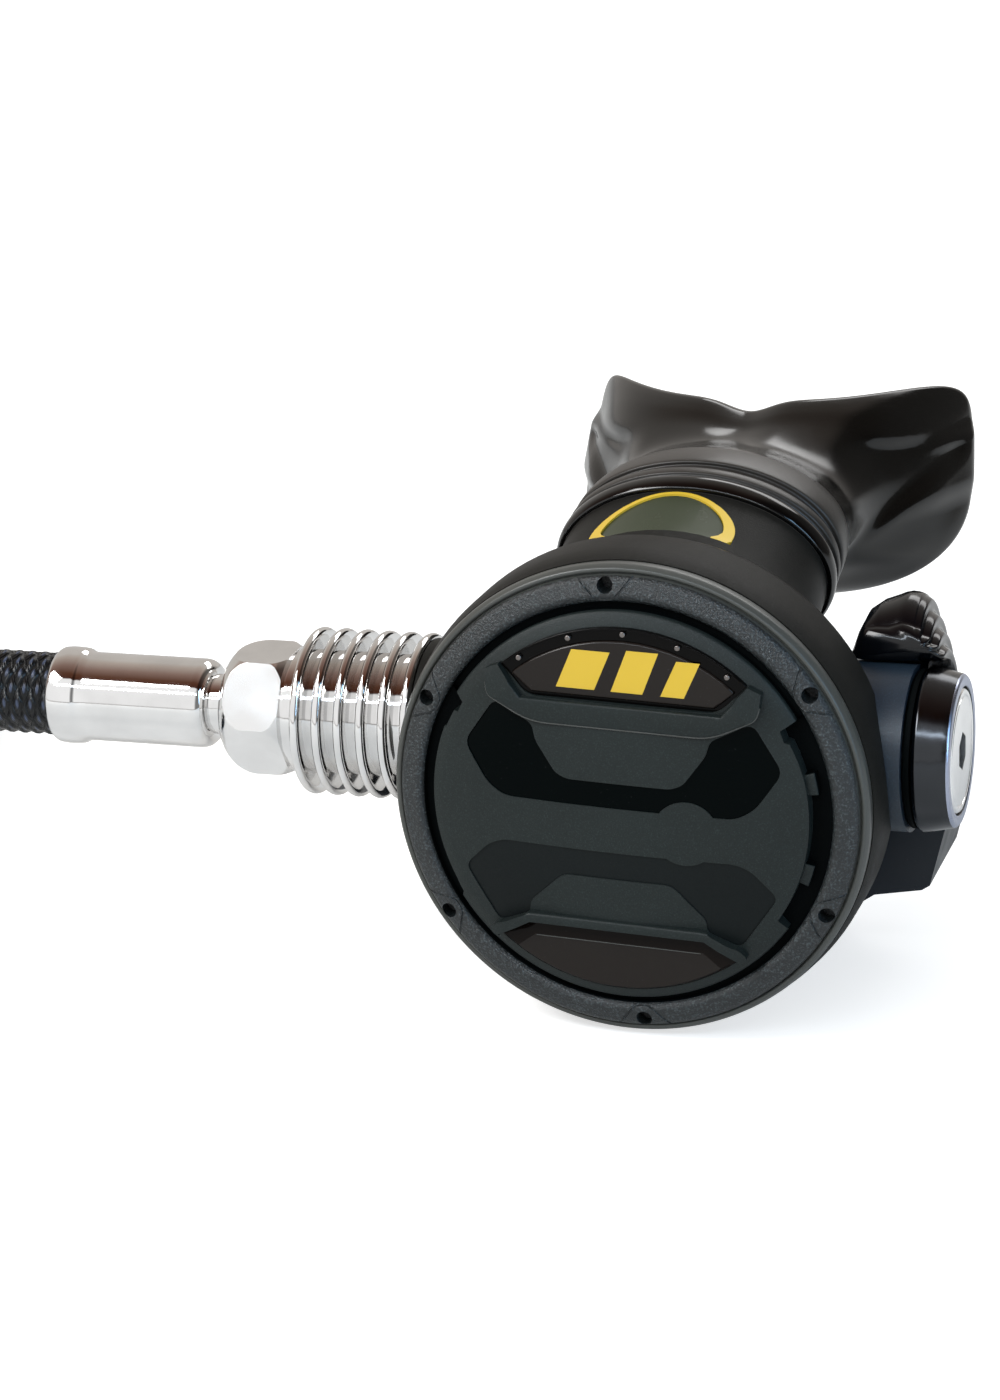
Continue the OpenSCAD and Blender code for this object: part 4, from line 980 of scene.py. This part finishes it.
mouthpiece = shaped(mouth_skin(), gathered([bite_tab(1), bite_tab(-1)]), "UNION")
piece("mouthpiece_finished", mouthpiece, ["mouth_silicone", "mouth_band"], ["mouthpiece"], sharp=50,
      second=lambda at, normal: at.y < BAND_END_Y - 0.3 * (at.z - FLANGE_Z))

# ---------- clamp round the mouthpiece ----------

NECK_TILT = math.radians(19.4)


def neck_ring(s, a, b, count=128):
    """An oval round the neck's axis, at a distance along it."""
    ring = []
    for i in range(count):
        x, up = oval_point(math.tau * i / count, a, b, 2)
        ring.append(Vector((x, 16 + s * math.cos(NECK_TILT) - up * math.sin(NECK_TILT),
                            14.4 + s * math.sin(NECK_TILT) + up * math.cos(NECK_TILT))))
    return ring


CLAMP = softened([(26.1, 0.35), (26.15, 0.8), (26.9, 1.2), (27.8, 1.3), (28.7, 1.2), (29.45, 0.8), (29.5, 0.35)], 0.4)
clamp_rings = [neck_ring(s, 20.4 + out, 14.7 + out) for s, out in CLAMP]
clamp_rings += [neck_ring(s, 20.65, 14.95) for s in (29.5, 27.8, 26.1)]
piece("clamp_finished", wrapped(clamp_rings, closed=True), "clamp_gloss", ["mouthpiece_clamp"])

# ---------- airflow lever's pad ----------

PAD_IN_R, PAD_OUT_R, PAD_FROM, PAD_TO, PAD_RIBS = 12.6, 25.0, 9, 84, 4
# How much of the edge's size each ring of a cap keeps, and how far it stands out
PAD_CAP = [(0.98, 0.38), (0.92, 0.74), (0.8, 1.14), (0.65, 1.44), (0.45, 1.7), (0.2, 1.86)]


def pad_ring(k):
    """A section of the pad across its arc. Ridges run along its outer side, which leans in towards the top."""
    grow = math.sin(math.radians(7 + 166 * k)) ** 0.4
    section = [(28, PAD_IN_R), (35, PAD_IN_R)]
    tall = (PAD_OUT_R - 14) * grow
    for i in range(33):
        u = i / 32
        ridge = 0.55 * math.sin(math.pi * PAD_RIBS * u) ** 2 * min(1, 0.4 + grow)
        section.append((41.2 - 4.6 * u ** 1.3 + ridge, 13 + tall * u + 0.5 * ridge))
    section += [(35, 13.3 + tall), (33, 12.6 + tall), (29.6, PAD_IN_R + 1.2 + 7.4 * grow),
                (27 + 2 * (1 - grow), PAD_IN_R + 1.2)]
    smooth = through([Vector(p) for p in section[-1:] + section + section[:2]], 2)[2:-3]
    a = math.radians(PAD_FROM + (PAD_TO - PAD_FROM) * k)
    return [BARREL + Vector((x, r * math.sin(a), r * math.cos(a))) for x, r in smooth]


def pad_cap(edge, out):
    """Rings that close an end of the pad in a dome, from its edge in to its middle."""
    middle = sum(edge, Vector((0, 0, 0))) / len(edge)
    return [[middle.lerp(p, shrink) + out * bulge for p in edge] for shrink, bulge in PAD_CAP]


def pad_body():
    rings = [pad_ring(i / 140) for i in range(141)]
    start, end = pad_cap(rings[0], Vector((0, -1, 0))), pad_cap(rings[-1], Vector((0, 0.2, -1)))
    return wrapped(start[::-1] + rings + end)


def airflow_lever():
    """The pad on its ring: a sleeve inside the case's boss, a disc outside it, and a web up to the pad."""
    turned = spun([(7.58, 24), (9.8, 24), (9.8, 37.8), (11.3, 37.8), (11.6, 38.1), (11.6, 38.8), (7.58, 38.8)],
                  128, "x", BARREL)
    web = bmesh.new()
    bmesh.ops.create_cube(web, size=1)
    bmesh.ops.scale(web, vec=(1, 12, 5), verts=web.verts)
    bmesh.ops.translate(web, vec=(38.3, 0, 12.2), verts=web.verts)
    bmesh.ops.transform(web, matrix=Matrix.Translation(BARREL) @ Matrix.Rotation(math.radians(-46), 4, "X"),
                        verts=web.verts)
    body = shaped(shaped(turned, web, "UNION"), pad_body(), "UNION")
    # The disc between the boss and the collar takes the near-black finish: painted shade in the gap there
    piece("airflow_lever", body, ["lever_plastic", "painted_shade_black"], ["venturi_lever"], "venturi", sharp=72,
          second=lambda at, normal: 37 < at.x < 38.9 and (at - BARREL).yz.length < 11.7)


airflow_lever()

# ---------- badge on the neck ----------

NECK = [(0, 24.5, 17.2), (8, 22.3, 16.2), (16, 21.1, 15.4), (24, 20.6, 14.9), (26, 20.6, 14.9)]
BADGE_X, BADGE_W, BADGE_FRONT_Y, BADGE_ARCH_Y, BADGE_ARCH_H = -1.2, 11, 25, 27.2, 8.4


def under_neck(depth):
    """The neck's solid, sunk by a depth."""
    return wrapped([neck_ring(s, a - depth, b - depth, 192) for s, a, b in NECK])


def badge_arch(inset_top, inset_side, feet):
    """The badge's outline seen from above, set in by one amount at its top and another at its sides."""
    points = []
    for i in range(49):
        a = math.pi * i / 48
        inset = inset_top + (inset_side - inset_top) * math.cos(a) ** 2
        points.append((BADGE_X + (BADGE_W - inset) * math.cos(a),
                       BADGE_ARCH_Y + (BADGE_ARCH_H - inset) * math.sin(a)))
    feet = [(x, BADGE_FRONT_Y + y) for x, y in feet]
    return [(BADGE_X - x, y) for x, y in reversed(feet)] + [(BADGE_X + x, y) for x, y in feet] + points


def badge_part(name, outlines, depth, finish, rounding):
    column = slab(outlines[0], 25, 45, axis="z")
    for opening in outlines[1:]:
        column = shaped(column, slab(opening, 24, 46, axis="z"))
    body = shaped(shaped(column, under_neck(depth), "INTERSECT"), under_neck(0.8))
    round_edges(piece(name + "_finished", body, finish, [name], sharp=40), rounding, 2, 40)


BADGE_OUTSIDE = badge_arch(0.05, 0.05, [(BADGE_W - 0.7, 0.05), (BADGE_W - 0.1, 0.9)])
BADGE_OPENING = badge_arch(0.55, 1.75, [(7.9, -0.5), (8.0, 0.35), (8.8, 1.2)])
BADGE_INSIDE = badge_arch(0.6, 1.8, [(7.85, 0.05), (7.95, 0.4), (8.75, 1.25)])
badge_part("neck_badge_frame", [BADGE_OUTSIDE, BADGE_OPENING], 0.02, "badge_yellow", 0.15)
badge_part("neck_badge_plate", [BADGE_INSIDE], 0.3, "badge_field", 0.05)

# ---------- diaphragm ----------

# Its middle moves with the disc, inside a rolled fold that hangs from the clamped rim
piece("diaphragm_rim", spun([(16.1, 8.5), (18, 8.9), (22, 10.2), (26, 10.2), (28.6, 8.1), (33.4, 8.1), (33.4, 9.5),
                             (28.6, 9.5), (26, 11), (22, 11), (17.5, 9.8), (16.7, 9.6), (16.7, 12.9), (16.1, 12.9)]),
      NODE_SLOT["diaphragm"], ["diaphragm"])
piece("diaphragm_middle", spun([(0, 8.2), (14.5, 8.2), (16, 8.5), (16, 9.3), (14.5, 9), (0, 9)]),
      NODE_SLOT["diaphragm"], body="diaphragm_disc")

# ---------- the rest of the CAD nodes ----------


def on_boss(at, normal):
    out = (at - BARREL).yz.length
    return at.x > 27 and (11.9 < out < 12.4 and abs(normal.x) < 0.2 or at.x > 36.5 and out < 12.4)


# Nodes with a second finish, and which of their faces take it
TWO_FINISHES = {"case_body": (["boss_satin"], on_boss),
                "barrel_nut": (["rim_metal"], lambda at, normal: normal.x > 0.5)}
ROUNDED = {"case_body": 0.3, "exhaust_tee": 0.6, "upper_bezel": 0.1, "upper_lens": 0.25, "venturi_vane": 0.2,
           "demand_lever": 0.15, "poppet_nut": 0.15, "barrel_nut": 0.2}
# Springs, with the joint each belongs to, the way it lies, its fixed end and the share of its length left
SPRINGS = {"purge_spring": ("purge_press", (0, 1, 0), (0, 6.75, 0), 0.55),
           "poppet_spring": ("poppet_open", (1, 0, 0), (23.95, 22, 4), 0.85)}
SHOWN = [n for n in NODES if not NODES[n].hide_render]
for node in SHOWN:
    made = joined_copy(node, ROUNDED.get(node, 0), *TWO_FINISHES.get(node, ()))
    if node in SPRINGS:
        joint, along, fixed, left = SPRINGS[node]
        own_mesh(made)

# ---------- floor, backdrop and light ----------


def rays(n):
    """Which rays come from the camera, and which from gloss or through something clear."""
    path = n.add("ShaderNodeLightPath")
    return path.outputs["Is Camera Ray"], n.math("MAXIMUM", path.outputs["Is Glossy Ray"],
                                                 path.outputs["Is Transmission Ray"])


def show_background(material, seen_white, mirrored_white):
    """The camera sees the floor as white as the background, and gloss a little less so, with the shadow kept."""
    n = Nodes(material.node_tree)
    seen, mirrored_ray = rays(n)
    shine = n.add("ShaderNodeEmission")
    n.link(n.math("ADD", n.math("MULTIPLY", seen, seen_white), n.math("MULTIPLY", mirrored_ray, mirrored_white)),
           shine.inputs["Strength"])
    both = n.add("ShaderNodeAddShader")
    n.link(material.node_tree.nodes["Principled BSDF"].outputs[0], both.inputs[0])
    n.link(shine.outputs[0], both.inputs[1])
    n.link(both.outputs[0], material.node_tree.nodes["Material Output"].inputs["Surface"])


def floor():
    paint = bpy.data.materials.new("floor_paint")
    paint.use_nodes = True
    shader = paint.node_tree.nodes["Principled BSDF"]
    shader.inputs["Base Color"].default_value = (0.68, 0.665, 0.64, 1)
    shader.inputs["Roughness"].default_value = 1.0
    shader.inputs["Specular IOR Level"].default_value = 0.0
    show_background(paint, 0.66, 0.04)
    bm = bmesh.new()
    bmesh.ops.create_grid(bm, x_segments=1, y_segments=1, size=8)
    bmesh.ops.translate(bm, vec=(0, 4, 0), verts=bm.verts)
    add_mesh("floor", bm, [paint])


def lamp(name, at, aim_x, size, power, colour=(1, 1, 1)):
    """A soft lamp that shines at a place over the floor."""
    data = bpy.data.lights.new(name, "AREA")
    data.shape = "RECTANGLE"
    data.size, data.size_y = size
    data.energy = power
    data.color = colour
    obj = add_object(name, data)
    obj.location = at
    obj.rotation_mode = "QUATERNION"
    obj.rotation_quaternion = (Vector(at) - Vector((aim_x, 0, 0.05))).to_track_quat("Z", "Y")
    obj.visible_camera = False


floor()
lamp("key", (-0.9, -0.7, 1.1), 0, (0.7, 0.5), 16)
lamp("fill", (1.1, -0.55, 0.47), 0, (0.3, 0.8), 6, (0.40, 0.68, 1.0))
lamp("strip", (-0.05, -1.02, 0.84), -0.05, (1.4, 0.07), 6, (0.8, 0.9, 1.0))
lamp("back", (0.2, 1.1, 0.9), 0, (0.9, 0.4), 4)

# Seen in polished metal: a white wall before the object, a pale warm one behind it and a brown ceiling between
ROOM = [(0.0, (0.60, 0.57, 0.54)), (0.28, (0.56, 0.52, 0.48)), (0.36, (0.46, 0.39, 0.34)), (0.5, (0.26, 0.17, 0.14)),
        (0.62, (0.11, 0.045, 0.026)), (0.69, (0.07, 0.022, 0.012)), (0.705, (1, 1, 1)), (1.0, (1, 1, 1))]


def plain(n, colour):
    shader = n.add("ShaderNodeBackground")
    shader.inputs["Color"].default_value = (*colour, 1)
    return shader


def either(n, factor, first, second):
    mix = n.add("ShaderNodeMixShader")
    for socket, source in zip(mix.inputs, (factor, first.outputs[0], second.outputs[0])):
        n.link(source, socket)
    return mix


def studio():
    """A white backdrop for the camera, a grey light on the object, and the room for what mirrors it."""
    world = bpy.data.worlds.new("studio")
    bpy.context.scene.world = world
    world.use_nodes = True
    n = Nodes(world.node_tree)
    split = n.add("ShaderNodeSeparateXYZ")
    n.link(n.add("ShaderNodeTexCoord").outputs["Generated"], split.inputs[0])
    over = n.math("DIVIDE", n.math("ARCTAN2", split.outputs["Z"], split.outputs["Y"]), math.pi)
    ramp = n.add("ShaderNodeValToRGB")
    for i, (place, colour) in enumerate(ROOM):
        stop = ramp.color_ramp.elements[i] if i < 1 else ramp.color_ramp.elements.new(place)
        stop.position, stop.color = place, (*colour, 1)
    n.link(over, ramp.inputs["Fac"])
    room = n.add("ShaderNodeBackground")
    n.link(ramp.outputs["Color"], room.inputs["Color"])
    # The room is dim to the right
    n.link(n.ramp(split.outputs["X"], 0.3, 0.5, 1.0, 0.22), room.inputs["Strength"])
    seen, mirrored_ray = rays(n)
    dressed = either(n, mirrored_ray, plain(n, (0.45, 0.455, 0.46)), room)
    n.link(either(n, seen, dressed, plain(n, (1, 1, 1))).outputs[0],
           world.node_tree.nodes["World Output"].inputs["Surface"])


studio()
bpy.context.scene.view_settings.view_transform = "Standard"
